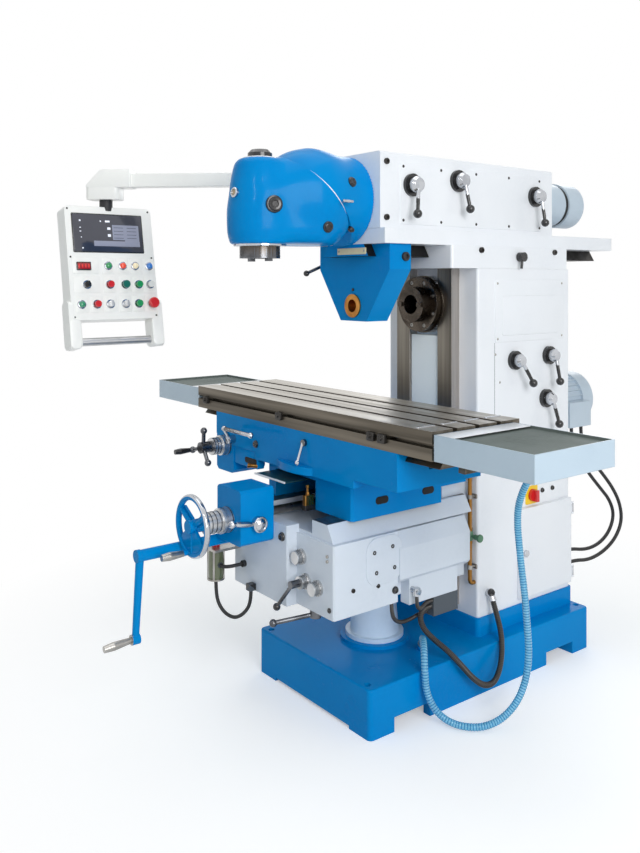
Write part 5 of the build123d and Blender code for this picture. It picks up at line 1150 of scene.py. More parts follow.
@dataclass
class Hoses:
    """Coolant hose, conduit, leads, cables and lubricator hoses."""

    rib_rows: int = 6
    coolant: Sequence[Point] = (
        (660, -255, 930), (660, -205, 930), (650, -166, 905), (622, -146, 862), (585, -141, 810),
        (548, -140, 752), (518, -130, 690), (503, -114, 625), (500, -101, 555), (502, -92, 480),
        (508, -84, 400), (512, -79, 315), (521, -80, 230), (522, -91, 150), (511, -118, 80),
        (494, -165, 34), (474, -226, 16), (440, -273, 15), (396, -301, 19), (351, -320, 40),
        (323, -336, 95), (318, -338, 168), (302, -324, 204), (275, -300, 225), (244, -273, 225),
        (217, -249, 204), (193, -228, 172))
    splits: Sequence[tuple[Point, str, str]] = (
        ((518, -130, 690), "table", "swivel_base"), ((508, -84, 400), "swivel_base", "saddle"),
        ((521, -80, 230), "saddle", "knee"), ((494, -165, 34), "knee", "frame"))
    conduit: Sequence[Point] = (
        (222, -217, 310), (222, -250, 310), (229, -273, 287), (242, -267, 252), (268, -243, 219),
        (304, -214, 186), (329, -180, 140), (342, -140, 91), (347, -92, 55), (346, -44, 49),
        (338, -4, 79), (323, 26, 129), (302, 46, 181), (275, 57, 227), (253, 60, 272))
    cables: Sequence[Cable] = (
        Cable("long_lead", 0.240, 0.013, "knee", "control_conduits", CONDUIT, 4.0, (
            (226, -395, 372), (226, -395, 335), (221, -378, 302), (212, -340, 282), (206, -294, 280),
            (205, -252, 288), (205, -217, 288))),
        Cable("short_lead", 0.145, 0.013, "knee", "control_conduits", CONDUIT, 4.0, (
            (262, -318, 380), (262, -318, 350), (256, -302, 330), (243, -274, 326), (230, -246, 332),
            (230, -217, 332))),
        Cable("inner_motor_cable", 0.986, 0.014, "frame", "control_conduits", SOFT_BLACK, 0.0, (
            (122, 690, 800), (122, 690, 740), (126, 730, 672), (130, 802, 590), (130, 880, 520),
            (130, 945, 462), (130, 978, 395), (130, 946, 330), (130, 874, 290), (130, 775, 282),
            (130, 660, 310), (130, 550, 310))),
        Cable("outer_motor_cable", 0.992, 0.014, "frame", "control_conduits", SOFT_BLACK, 0.0, (
            (132, 740, 800), (132, 740, 735), (144, 788, 660), (156, 858, 588), (160, 924, 520),
            (160, 975, 448), (160, 990, 372), (160, 945, 308), (160, 862, 268), (160, 756, 252),
            (160, 650, 272), (160, 550, 272))),
        Cable("oil_return_hose", 0.296, 0.012, "knee", "knee_hoses", SOFT_BLACK, 0.0, (
            (-250, -760, 389), (-250, -760, 347), (-243, -755, 304), (-219, -742, 274), (-182, -727, 266),
            (-147, -712, 290), (-123, -702, 330), (-123, -702, 372))),
        Cable("oil_feed_hose", 0.083, 0.012, "knee", "knee_hoses", SOFT_BLACK, 0.0, (
            (-218, -760, 440), (-202, -760, 440), (-186, -750, 442), (-178, -730, 444), (-178, -702, 444))))

    def build(self) -> None:
        self.coolant_hose()
        self.ribbed_conduit()
        for cable in self.cables:
            self.plain(cable)

    def ribs(self, path: np.ndarray, crest: float, valley: float) -> np.ndarray:
        """Radius along a ribbed wall: its middle plus half the depth times the cosine of the rib's phase."""
        phase = np.arange(len(path)) * 2 * np.pi / self.rib_rows
        return (crest + valley) / 2 + (crest - valley) / 2 * np.cos(phase)

    def band(self, made: bpy.types.Object, finish: Finish, sides: int, start: int = 0) -> None:
        """Gives the valleys between the ribs, two rows of faces in each rib, a darker finish of their own:
        painted shade.

        Args:
            made: the ribbed tube.
            finish: darker finish of the valleys, their painted shade.
            sides: faces in a row.
            start: number of the first row along the whole cord.
        """
        mesh = made.data
        mesh.materials.append(finish.material())
        row = (start + np.arange(len(mesh.polygons)) // sides) % self.rib_rows
        mesh.polygons.foreach_set("material_index", ((row == 2) | (row == 3)).astype(np.int32))
        mesh.update()

    def coolant_hose(self) -> None:
        """Cuts the ribbed hose into lengths where a slide moves; the last length rides the frame, the others
        no body.
        """
        path, sides, diameter = smooth_line("coolant_line", self.coolant, 1.42), 20, 0.023
        radius = self.ribs(path, 11.5, 10.2)
        cuts = [int(np.argmin(np.linalg.norm(path - np.asarray(corner), axis=1)))
                for corner, *_ in self.splits]
        spans = zip([0, *cuts], [*cuts, len(path) - 1], [*(bodies for _, *bodies in self.splits), None])
        for number, (first, last, bodies) in enumerate(spans, 1):
            part = path[first:last + 1]
            made = piece(f"coolant_hose_{number}", [(tube(part, radius[first:last + 1], sides), HOSE_BLUE)],
                         None if bodies else "frame")
            # Valleys between the ribs in the deeper blue: painted shade.
            self.band(made, HOSE_VALLEY_SHADE, sides, first)
            if bodies:
                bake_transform(made)
            length = float(np.linalg.norm(np.diff(part, axis=0), axis=1).sum()) * MM
            self.declare(made, part, length, diameter, "coolant_hose", "hanging" if bodies else "loose")
        for name, ends, body in (("upper", path[:30], "table"), ("lower", path[-30:], "frame")):
            middle, aim = ends[15], ends[16] - ends[14]
            side, up, _ = cross_axes(aim)
            clip = washer(13.4, 12.0, -5, 5, middle, aim, 40)
            worm = turned([(4.2, -8), (4.2, 6), (3.2, 8), (2.0, 8, 1), (2.0, 6, 1)],
                          middle + 16 * up, side, 20)
            piece(f"hose_clip_{name}", [([clip, worm], STEEL)], body)

    def ribbed_conduit(self) -> None:
        """The flexible conduit from the switch box to the foot of the column."""
        path, sides, fixed = smooth_line("conduit_line", self.conduit, 0.91), 18, 40
        made = piece("control_conduit", [(tube(path, self.ribs(path, 10.0, 8.6), sides), CONDUIT)], None)
        # Valleys between the conduit's ribs in near-black: painted shade.
        self.band(made, CONDUIT_VALLEY_SHADE, sides)
        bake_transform(made)
        self.declare(made, path, 0.710, 0.020, "control_conduits", "hanging")

    def plain(self, cable: Cable) -> None:
        """Makes a cable or thin hose.

        Args:
            cable: its route and facts.
        """
        step = cable.pitch / self.rib_rows if cable.pitch else 6.0
        path = smooth_line(f"{cable.name}_line", cable.route, step)
        crest = cable.diameter / 2 / MM
        radius = self.ribs(path, crest, crest - 0.8) if cable.pitch else crest
        made = piece(cable.name, [(tube(path, radius, 16), cable.finish)], cable.body)
        self.declare(made, path, cable.length, cable.diameter, cable.node, "hanging")

    @staticmethod
    def declare(made: bpy.types.Object, path: np.ndarray, length: float, diameter: float, node: str,
                lay: str) -> None:
        """Hides the CAD node that a cord stands for.

        Args:
            made: the cord; not used.
            path: its points; not used.
            length: its length in metres; not used.
            diameter: its diameter in metres; not used.
            node: the CAD node.
            lay: how it lies; not used.
        """
        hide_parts(node)


# Sub-assemblies

@dataclass
class ColumnUnit:
    """Base, column, spindle front, motor and the covers on the column's sides."""

    side: float = 228.0
    back: float = 530.0
    spindle: Pair = (0.0, 1307.0)
    cap_face: float = -60.0
    bolt_circle: float = 83.0
    panel_y: Pair = (98.0, 492.0)
    panel_z: Pair = (1172.0, 1396.0)
    inner_y: Pair = (134.0, 456.0)
    inner_z: Pair = (1196.0, 1338.0)
    sheet: float = 3.0
    screw: Pair = (4.5, 2.4)
    screw_inset: float = 13.0
    front: float = 10.0
    way_y: Pair = (-40.0, 9.5)
    way_z: Pair = (236.0, 1440.0)
    boss_radius: float = 112.0
    cap_screw_size: Pair = (7.2, 7.6)
    counterbore: float = 8.6
    left_cover: tuple[float, float, float, float] = (300.0, 330.0, 368.0, 401.0)
    rear_covers: Sequence[Triple] = ((330.0, 250.0, 470.0), (330.0, 256.0, 1263.0))
    side_screws: Sequence[Pair] = ((102.0, 1130.0), (126.0, 1030.0), (492.0, 1010.0))
    seam: Triple = (1.6, 300.0, 0.5)
    seam_z: float = 1022.0
    strip: Triple = (139.0, 865.0, 34.0)
    strip_z: float = 762.0
    louvre: Triple = (150.0, 7.0, 2.6)
    louvre_z: Sequence[float] = (420.0, 440.0, 460.0, 480.0, 500.0, 520.0)
    pipe: Pair = (211.0, -12.0)
    pipe_z: Pair = (338.0, 735.0)
    pipe_radius: float = 7.5
    pipe_bend: float = 16.0
    clip_z: Pair = (395.0, 640.0)
    valve: float = 505.0
    isolator: Pair = (300.0, 603.0)
    blind_plugs: Sequence[Pair] = ((364.0, 610.0), (424.0, 610.0))
    gland_knob: Triple = (250.0, 54.0, 303.0)
    guide_bolt_y: Pair = (26.0, 436.0)
    guide_bolt_z: float = 1500.0

    def dress(self) -> None:
        """Paints the castings, bares their machined faces and paints a highlight on the ways' sides."""
        ways = within(y=self.way_y, z=self.way_z)
        boss = about(self.spindle, 1, outer=self.boss_radius)
        strip = within((-71, 71), (self.front - 1, self.front + 1), (236, 1200))
        gland = within((229, 300), (30, 95), (240, 330))
        # The ways' side faces, chosen by their normal, get the lighter metal as a painted highlight.
        dress("column", WHITE, (PALE_BLUE, strip), (WAYS, ways), (WAY_SIDE_HIGHLIGHT, both(ways, along(0))),
              (WHITE, both(boss, within(y=(-9e9, 11)))), (OILED, both(boss, within(y=(-9e9, -20)))),
              (CHROME, gland))
        dress("ram_guide", WHITE, (DARK_STEEL, both(within((-150, 150), z=(1440, 1514)), across(1))))
        dress("cabinet_door", WHITE, (CHROME, within(x=(246.5, 400))))
        dress_plain({"base": BLUE, "screw_pedestal": PALE_BLUE, "spindle_bearings": OILED,
                     "horizontal_spindle": OILED, "isolator_knob": RED, "main_motor": MOTOR,
                     "ram_clamp_knob": BLACK})
        dress_levers({"speed_lever_front": (203, 1105), "speed_lever_rear": (400, 1113),
                      "range_lever": (382, 953)}, 250, 76)

    def build(self) -> None:
        """Adds covers, screws, pipe and plates."""
        self.covers()
        self.spindle_front()
        self.oil_pipe()
        self.fittings()

    def cover(self, width: float, height: float, place: Point, face: tuple[Point, Point]) -> list[Part]:
        """Sheet cover with a screw near each corner.

        Args:
            width: size across.
            height: size up.
            place: middle of its back.
            face: directions of its width and height.

        Returns:
            The sheet and the screws with their finishes.
        """
        x, y = np.array(face, float)
        out = np.cross(x, y)
        front = np.asarray(place, float) + self.sheet * out
        across_by, up_by = width / 2 - self.screw_inset, height / 2 - self.screw_inset
        spots = [front + a * across_by * x + b * up_by * y for a, b in product((-1, 1), repeat=2)]
        return [(slab((width, height, self.sheet), place, x, y, 9, 1.4), WHITE),
                *((round_screw(spot, out, *self.screw), STEEL) for spot in spots)]

    def covers(self) -> None:
        """Covers of the gear chest, the left side and the back, the strip cover and the louvres."""
        y, z = np.mean(self.panel_y), np.mean(self.panel_z)
        size = (self.panel_y[1] - self.panel_y[0], self.panel_z[1] - self.panel_z[0])
        parts = []
        for width, height, place, face in (
                (*size, (self.side, y, z), RIGHT_FACE), (*size, (-self.side, y, z), LEFT_FACE),
                (*self.left_cover[:2], (-self.side, *self.left_cover[2:]), LEFT_FACE),
                *((wide, high, (0, self.back, at), REAR_FACE) for wide, high, at in self.rear_covers)):
            parts += self.cover(width, height, place, face)
        inner = (self.inner_y[1] - self.inner_y[0], self.inner_z[1] - self.inner_z[0], 1.6)
        place = (self.side + self.sheet, np.mean(self.inner_y), np.mean(self.inner_z))
        parts.append((slab(inner, place, *RIGHT_FACE, 10, 1.2), WHITE))
        screws = [round_screw((self.side, *spot), RIGHT, *self.screw) for spot in self.side_screws]
        parts.append((screws, STEEL))
        seam = slab(self.seam, (self.side, self.panel_y[0], self.seam_z), *RIGHT_FACE, 0.6, 0.2)
        parts.append((seam, BOX_GREY))
        piece("column_covers", parts, "frame")
        strip = slab(self.strip, (0, self.front, self.strip_z), *FRONT_FACE, 4, 2)
        piece("way_strip_cover", [(strip, STRIP)], "frame")
        slots = [slab(self.louvre, (0, self.back + self.sheet, at), *REAR_FACE, 3.4, 1.6)
                 for at in self.louvre_z]
        piece("rear_louvres", [(slots, BOX_GREY)], "frame")

    def spindle_front(self) -> None:
        """Screws in the counterbores of the bearing cap."""
        spots = [on_circle(self.spindle, self.bolt_circle, a, self.cap_face + self.counterbore)[0]
                 for a in np.radians(67.5 - 45 * np.arange(8))]
        screws = [cap_screw(spot, FRONT, *self.cap_screw_size) for spot in spots]
        piece("bearing_cap_screws", [(screws, STEEL)], "frame")

    def oil_pipe(self) -> None:
        """Brass pipe up the column's front edge with two clips and a green stop valve."""
        x, y = self.pipe
        low, high = self.pipe_z
        sunk = self.front + 4
        line = arc_path([(x, sunk, low), (x, y, low), (x, y, high), (x, sunk, high)], self.pipe_bend)
        parts: list[Part] = [(tube(line, self.pipe_radius, 18), BRASS)]
        for z in self.clip_z:
            parts.append(([slab((30, 16, 3), (x, self.front, z), *FRONT_FACE, 4, 1.2),
                           washer(9.6, 7.4, -7, 7, (x, y, z), UP, 28),
                           turned([(4, 0), (4, 16)], (x, self.front + 2, z), FRONT, 20)], STEEL))
        nuts = [turned([(10, -8, 1), (10, 8, 1)], (x, y, self.valve + s * 19), UP, 36) for s in (-1, 1)]
        parts.append((nuts, BRASS))
        body = turned([(9, -17), (12, -12), (12, 12), (9, 17)], (x, y, self.valve), UP, 32)
        stem = turned([(6, 8), (6, 22), (9, 24), (9, 32), (5, 34), (5, 40), (13, 42), (14, 46), (13, 50),
                       (4, 51)], (x, y, self.valve), RIGHT, 32)
        piece("oil_pipe", [*parts, ([body, stem], GREEN_VALVE)], "frame")

    def fittings(self) -> None:
        """Isolator plate, blind plugs, the gland's knob and bolts of the ram guide."""
        plate = slab((66, 66, 4.6), (self.side, *self.isolator), *RIGHT_FACE, 6, 1.2)
        piece("isolator_plate", [(plate, YELLOW)], "frame")
        plugs = [plug((self.side, *spot), RIGHT, 9, 7) for spot in self.blind_plugs]
        plugs.append(plug(self.gland_knob, (0.8, -0.6, 0.1), 13, 11))
        piece("column_plugs", [(plugs, BLACK)], "frame")
        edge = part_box("ram_guide")[1][0] / MM
        bolts = [cap_screw((s * edge, y, self.guide_bolt_z), (s, 0, 0), 10, 9)
                 for y, s in product(self.guide_bolt_y, (1, -1))]
        piece("guide_bolts", [(bolts, DARK_STEEL)], "frame")


@dataclass
class RamUnit:
    """Ram with its side panels, levers and motor."""

    side: float = 180.0
    panel_y: Pair = (-316.0, 420.0)
    panel_z: Pair = (1580.0, 1784.0)
    sheet: float = 3.0
    motor_axis: Pair = (0.0, 1707.0)
    motor_end: float = 832.0

    def dress(self) -> None:
        """Paints the ram and motor and bares the dovetail."""
        below = (1400, 1514.5)
        dress("ram", WHITE, (DARK_STEEL, within(z=below)), (BLUE, within(y=(-420, -365), z=below)))
        dress("ram_motor", MOTOR, (SOFT_BLACK, within(y=(702.5, 721.5))))
        dress("ram_drive_shaft", STEEL)
        dress_levers({"ram_lever_front": (-265, 1711), "ram_lever_middle": (-44, 1740),
                      "ram_lever_rear": (377, 1710)}, 204, 66)

    def build(self) -> None:
        """Adds the side panels with their screws, the front flange screws and the motor's grille."""
        y, z = np.mean(self.panel_y), np.mean(self.panel_z)
        size = (self.panel_y[1] - self.panel_y[0], self.panel_z[1] - self.panel_z[0], self.sheet)
        rows = (self.panel_z[0] + 13, self.panel_z[1] - 13)
        panels, screws = [], []
        for s in (1, -1):
            panels.append(slab(size, (s * self.side, y, z), (0, s, 0), UP, 8, 1.4))
            screws += [round_screw((s * (self.side + self.sheet), *spot), (s, 0, 0), 5, 2.6)
                       for spot in product(np.linspace(self.panel_y[0] + 14, self.panel_y[1] - 14, 5), rows)]
            screws += [cap_screw((s * self.side, -376, pz), (s, 0, 0), 10, 8) for pz in (1600, 1782)]
        piece("ram_panels", [(panels, WHITE)], "ram")
        piece("ram_screws", [(screws, DARK_STEEL)], "ram")
        x, mz = self.motor_axis
        grille = [washer(r + 1.6, r - 1.6, -0.4, 2.4, (x, self.motor_end, mz), BACK)
                  for r in (20, 32, 44, 56, 68)]
        for a in np.arange(6) * np.pi / 3:
            place, side, out = on_circle(self.motor_axis, 44, a, self.motor_end)
            grille.append(slab((5, 62, 3), place, -side, out, 2, 0.8))
        piece("ram_motor_grille", [(grille, BOX_GREY)], "ram")


@dataclass
class HeadUnit:
    """Swivel head: knuckle, housing, spindle and arbor support.

    A taper is the height where it starts, its length and its amount; edges and blends are widths of rounding.
    """

    centre: Triple = (0.0, -572.0, 1660.0)
    axis: Triple = (0.0, -1.0, -1.0)
    spindle_y: float = -748.0
    barrel: float = 97.0
    web: float = 152.0
    ball: float = 163.0
    drum: float = 151.0
    seat: float = -402.3
    foot: float = 1507.0
    top: float = 1777.0
    gap: float = 1.2
    crown_taper: Triple = (1650.0, 120.0, 20.0)
    foot_taper: Triple = (1600.0, -93.0, 9.0)
    web_middle: float = 1634.0
    web_half: float = 128.0
    web_limit: float = 172.0
    crown_edge: float = 26.0
    web_edge: float = 56.0
    web_rim: float = 24.0
    foot_edge: float = 8.0
    drum_edge: float = 30.0
    ball_blend: float = 44.0
    web_blend: float = 30.0
    drum_blend: float = 36.0
    plugs: Sequence[tuple[str, Point, float, float]] = (
        ("head_housing", (90, -756, 1628), 27, 13), ("head_housing", (90, -546, 1566), 18, 10),
        ("head_knuckle", (90, -446, 1717), 17, 9), ("head_knuckle", (90, -450, 1563), 13, 7))
    lock_pin: Triple = (90.0, -484.0, 1653.0)
    sight_glass: Pair = (-146.0, 1683.0)
    dovetail_plate: Triple = (34.0, -400.0, 1492.0)
    oil_cup: Triple = (0.0, -365.0, 1362.0)
    clamp_screw: Triple = (185.0, -297.0, 1473.0)
    clamp_lever: Pair = (-317.5, 1455.0)

    def dress(self) -> None:
        """Blue support, polished spindle and bronze bush."""
        dress_plain({"head_knuckle": BLUE, "head_housing": BLUE, "arbor_bush": BRONZE})
        dress("vertical_spindle", OILED, (DARK_CHROME, within(z=(1400, 1480))))
        dress("arbor_support", BLUE, (WAYS, both(within((-130, 130), z=(1470, 1530)), across(1))))
        dress("support_clamp_lever", DARK_CHROME, (BLACK, far_from(self.clamp_lever, 0, 24)))

    def housing_field(self, p: np.ndarray) -> np.ndarray:
        """Barrel that narrows to both ends, ball, and the web between them, all blended and flat below.

        Args:
            p: points as (rows, columns, 3).

        Returns:
            The field at the points, negative inside.
        """
        x, y, z = np.moveaxis(p, -1, 0)
        local = p - np.array(self.centre)
        radius = self.barrel - sum(amount * np.clip((z - start) / length, 0, 1) ** 2
                                   for start, length, amount in (self.crown_taper, self.foot_taper))
        barrel = soft_max(np.hypot(x, y - self.spindle_y) - radius, z - self.top, self.crown_edge)
        ball = np.linalg.norm(local, axis=-1) - self.ball
        reach = self.centre[1] - self.spindle_y
        lean = (self.barrel - self.web) / reach
        square = math.sqrt(1 - lean ** 2)
        side, far = np.abs(x), y - self.spindle_y
        forward = square * far - lean * side
        web = np.where(forward < 0, np.hypot(side, far) - self.barrel,
                       np.where(forward > square * reach, np.hypot(side, far - reach) - self.web,
                                square * side + lean * far - self.barrel))
        web = soft_max(web, np.abs(z - self.web_middle) - self.web_half, self.web_edge)
        slant = local @ unit(self.axis)
        round_limit = np.sqrt(np.maximum((local ** 2).sum(-1) - slant ** 2, 0)) - self.web_limit
        web = soft_max(web, round_limit, self.web_rim)
        whole = soft_min(soft_min(barrel, ball, self.ball_blend), web, self.web_blend)
        return soft_max(whole, self.foot - z, self.foot_edge)

    def knuckle_field(self, p: np.ndarray) -> np.ndarray:
        """Drum on the ram's front blended into the ball.

        Args:
            p: points as (rows, columns, 3).

        Returns:
            The field at the points, negative inside.
        """
        x, y, z = np.moveaxis(p, -1, 0)
        drum = soft_max(np.hypot(x, z - self.centre[2]) - self.drum, self.centre[1] - y, self.drum_edge)
        ball = np.linalg.norm(p - np.array(self.centre), axis=-1) - self.ball
        return np.maximum(soft_min(drum, ball, self.drum_blend), y - self.seat)

    def castings(self) -> dict[str, bpy.types.Object]:
        """Makes the two blended castings in place of the plain ones, a hair apart at the slanted joint.

        Returns:
            The castings by CAD node.
        """
        made = {}
        halves = (("head_housing", self.housing_field, 1), ("head_knuckle", self.knuckle_field, -1))
        for node, solid, side in halves:
            axis = side * unit(self.axis)
            shell = bulged(solid, np.array(self.centre) + self.gap * axis, axis)
            made[node] = piece(f"{node}_casting", [(shell, BLUE)], node, 40.0)
            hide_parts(node)
        bpy.context.view_layer.update()
        return made

    def build(self) -> None:
        """Adds castings, joint line, rings, plugs, pin and sight glass, each seated on its casting."""
        made = self.castings()
        line = washer(166.5, 150.0, -1.8, 1.8, self.centre, self.axis, 120)
        piece("head_joint_line", [(line, WHITE)], "head_knuckle")
        foot, crown = (self.centre[0], self.spindle_y, self.foot), (self.centre[0], self.spindle_y, self.top)
        ring = turned([(84, 0.4), (84, -5), (81, -7), (50, -7), (50, 0.4)], foot, UP, 64, True)
        lid = turned([(54, -9), (54, 1), (52, 3), (30, 3), (30, -9)], crown, UP, 72, True)
        cap = turned([(37, 1), (37, 3), (39, 5), (39, 17), (30, 26.5), (28, 28), (0.5, 28.2)], crown, UP, 48)
        piece("head_rings", [(ring, CHROME), (lid, WHITE), (cap, BLACK)], "head_housing")
        for node, casting in made.items():
            plugs = [plug(*on_surface(casting, through), *size)
                     for carrier, through, *size in self.plugs if carrier == node]
            piece(f"{node}_plugs", [(plugs, BLACK)], node)
        spot, out = on_surface(made["head_knuckle"], self.lock_pin)
        pin = turned([(5, -2), (5, 26), (4, 27)], spot, out, 24)
        bar = turned([(3.6, -22), (4.4, -21), (4.4, 21), (3.6, 22)], spot + 23 * out, cross_axes(out)[0], 24)
        piece("head_lock_pin", [([pin, bar], CHROME)], "head_knuckle")
        left, level = self.sight_glass
        spot, out = on_surface(made["head_housing"], (left, self.spindle_y, level))
        rim = turned([(16, -1), (16, 6), (14, 8), (10.5, 8), (10.5, -1)], spot, out, 40, True)
        glass = turned([(10.6, 0), (10.6, 4.6), (6, 5.6), (0.6, 6)], spot, out, 40)
        piece("head_sight_glass", [(rim, CHROME), (glass, SIGHT_GLASS)], "head_housing")
        self.support_details()

    def support_details(self) -> None:
        """Plate on the dovetail's end, and the oil plug and clamp screw of the arbor support."""
        x, y, z = self.dovetail_plate
        thick = 2.4
        plate = slab((150, 22, thick), self.dovetail_plate, *FRONT_FACE, 3, 0.9)
        screws = [round_screw((x + s * 66, y - thick, z), FRONT, 4, 2) for s in (-1, 1)]
        piece("dovetail_plate", [(plate, IVORY), (screws, STEEL)], "ram")
        cup = turned([(5, -1), (5, 3), (4, 4), (1, 4.5)], self.oil_cup, FRONT, 28)
        bolt = cap_screw(self.clamp_screw, RIGHT, 15, 10)
        piece("support_details", [(cup, DARK_STEEL), (bolt, SOFT_BLACK)], "arbor_support")


@dataclass
class KneeUnit:
    """Knee, feed gearbox, cross feed and their hand controls."""

    front: float = -690.0
    box_side: float = 250.0
    box_front: float = -650.0
    wheel: Pair = (-82.0, 634.0)
    jar: Pair = (-250.0, -760.0)
    cover: Pair = (-448.0, 518.0)
    cover_screws: Sequence[Pair] = (
        (-490.0, 548.0), (-414.0, 555.0), (-406.0, 487.0), (-482.0, 484.0), (-474.0, 442.0), (-575.0, 449.0))
    dial_radius: float = 22.0
    spoke_y: float = -938.0
    lever_hub: Triple = (4.0, -752.5, 627.0)
    lever_tip: Triple = (4.0, -852.5, 643.0)
    dials: Sequence[tuple[str, float, float]] = (("feed_dial_upper", 90, 528), ("feed_dial_left", 114, 457),
                                                 ("feed_dial_right", 175, 453))

    def dress(self) -> None:
        """Paints the castings, bares the rails and gives each control its metals."""
        rails = both(within((-240, 200), (-700, -40), (648, 705)), upward)
        dress("knee", GREY, (WAYS, rails), (WAYS, within((-150, 150), (-75, 20))))
        bottle = about(self.jar, 2, outer=27)
        dress("knee_fittings", BOX_GREY, (CHROME, within((240.5, 300), (-345, -290), (372, 440))),
              (BLACK, within((-260, 100), (-760, -690), (380, 470))),
              (OIL_GLASS, both(bottle, within(z=(388, 489.5)))),
              (STEEL, within((-300, -150), z=(489.6, 497.5))), (RED, both(bottle, within(z=(497.6, 600)))))
        dress_plain({"feed_gearbox": GREY, "cross_feed_box": BLUE, "cross_feed_lever": CHROME,
                     "cross_screw": STEEL, "elevating_screw": STEEL, "knee_clamp_lever": DARK_CHROME,
                     "feed_dial_upper": SATIN, "feed_dial_right": SATIN})
        spokes = within(y=(-9e9, -902))
        rim = both(about(self.wheel, 1, 92), spokes)
        dress("cross_handwheel", SATIN, (BLUE, spokes), (CHROME, rim), (STEEL, within(y=(-1100, -965))))
        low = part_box("knee_crank")[0] / MM
        dress("knee_crank", BLUE, (STEEL, within(y=(low[1] - 1, low[1] + 92), z=(low[2] - 1, low[2] + 50))))
        dress("feed_dial_left", SATIN, (DARK_CHROME, within(y=(-800, -681))),
              (BLACK, far_from(self.dials[1][1:], 1, 60)))

    def build(self) -> None:
        """Adds the gearbox cover, screws, plugs and dial marks, the controls' details and the oil jar."""
        x = self.box_side
        screws = [cap_screw((x, *spot), RIGHT, 6.5, 5) for spot in self.cover_screws]
        rim = slab((150, 150, 2.6), (x, *self.cover), *RIGHT_FACE, 46, 1.2)
        piece("gearbox_cover", [(rim, GREY), (screws, DARK_STEEL)], "knee")
        plugs = [plug((x, -402, 413), RIGHT, 12, 8), plug((40, self.front, 585), FRONT, 14, 10),
                 plug((230, self.box_front, 400), FRONT, 8, 5)]
        piece("knee_plugs", [(plugs, BLACK)], "knee")
        screws = [cap_screw((220, self.box_front, z), FRONT, 5, 4) for z in (560, 545)]
        piece("gearbox_front_screws", [(screws, STEEL)], "knee")
        for name, dx, dz in self.dials:
            marks = [slab((1.3, 5, 0.5), *on_circle((dx, dz), self.dial_radius, a, self.box_front - 8),
                          0.3, 0.1) for a in np.arange(12) * np.pi / 6]
            grooves = [washer(20.5, 19.6, -d, -d - 1.6, (dx, self.box_front, dz), BACK) for d in (12, 17, 22)]
            piece(f"{name}_marks", [(marks, BLACK), (grooves, DARK_CHROME)], name)
        dial_marks("cross_dial_marks", "cross_handwheel", self.wheel, (40, -838, 60, 9, 5),
                   ((34, -856), (34, -872), (34, -888), (40, -818)), 64)
        self.controls()
        self.oil_jar()

    def controls(self) -> None:
        """Broad spokes and web of the cross handwheel, and the crown and sleeve of the cross feed lever."""
        spokes = []
        for turn in (60, -60):
            place, side, out = on_circle(self.wheel, 51, math.radians(turn), self.spoke_y)
            spokes.append(slab((26, 66, 10), place, -side, out, 5, 3))
        sweep = np.radians(np.linspace(212, 328, 24))
        web = np.concatenate([[(20, -6), (-20, -6)], 84 * np.stack([np.cos(sweep), np.sin(sweep)], 1)])
        middle = (self.wheel[0], self.spoke_y - 5, self.wheel[1])
        spokes.append(profile_block(web, 5, middle, *FRONT_FACE, 1.5))
        piece("cross_wheel_spokes", [(spokes, BLUE)], "cross_handwheel")
        crown = turned([(25.6, -3), (25.6, 2), (24, 4.5), (20.5, 5), (19, 3.6), (17, 5.4), (12, 9), (6, 10.8),
                        (0.6, 11.2)], np.add(self.lever_hub, (6, 0, 0)), RIGHT, 44)
        hub, tip = np.array(self.lever_hub), np.array(self.lever_tip)
        sleeve = tube(hub + np.linspace(0.3, 0.86, 8)[:, None] * (tip - hub),
                      np.array([7.4, 9, 9.4, 9.4, 9.2, 9, 8.6, 7.4]), 24)
        piece("cross_lever_crown", [([crown, sleeve], CHROME)], "cross_feed_lever")

    def oil_jar(self) -> None:
        """Bulged glass of the lubricator in a cage of four strips and a ring."""
        place = np.array([*self.jar, 0.0])
        glass = turned([(25.2, 387.4), (26, 393), (27, 408), (27.8, 430), (27, 456), (26, 478),
                        (25.3, 488.6)], place, UP, 48)
        cage = [washer(29.6, 25, 386, 391, place, UP)]
        for a in np.radians((45, 135, 225, 315)):
            out = np.array([math.cos(a), math.sin(a), 0.0])
            spot = place + 28.2 * out + (0, 0, 438)
            cage.append(slab((7, 102, 1.4), spot, (-out[1], out[0], 0), UP, 1.5, 0.5))
        piece("oil_jar", [(glass, OIL_GLASS), (cage, STEEL)], "knee")


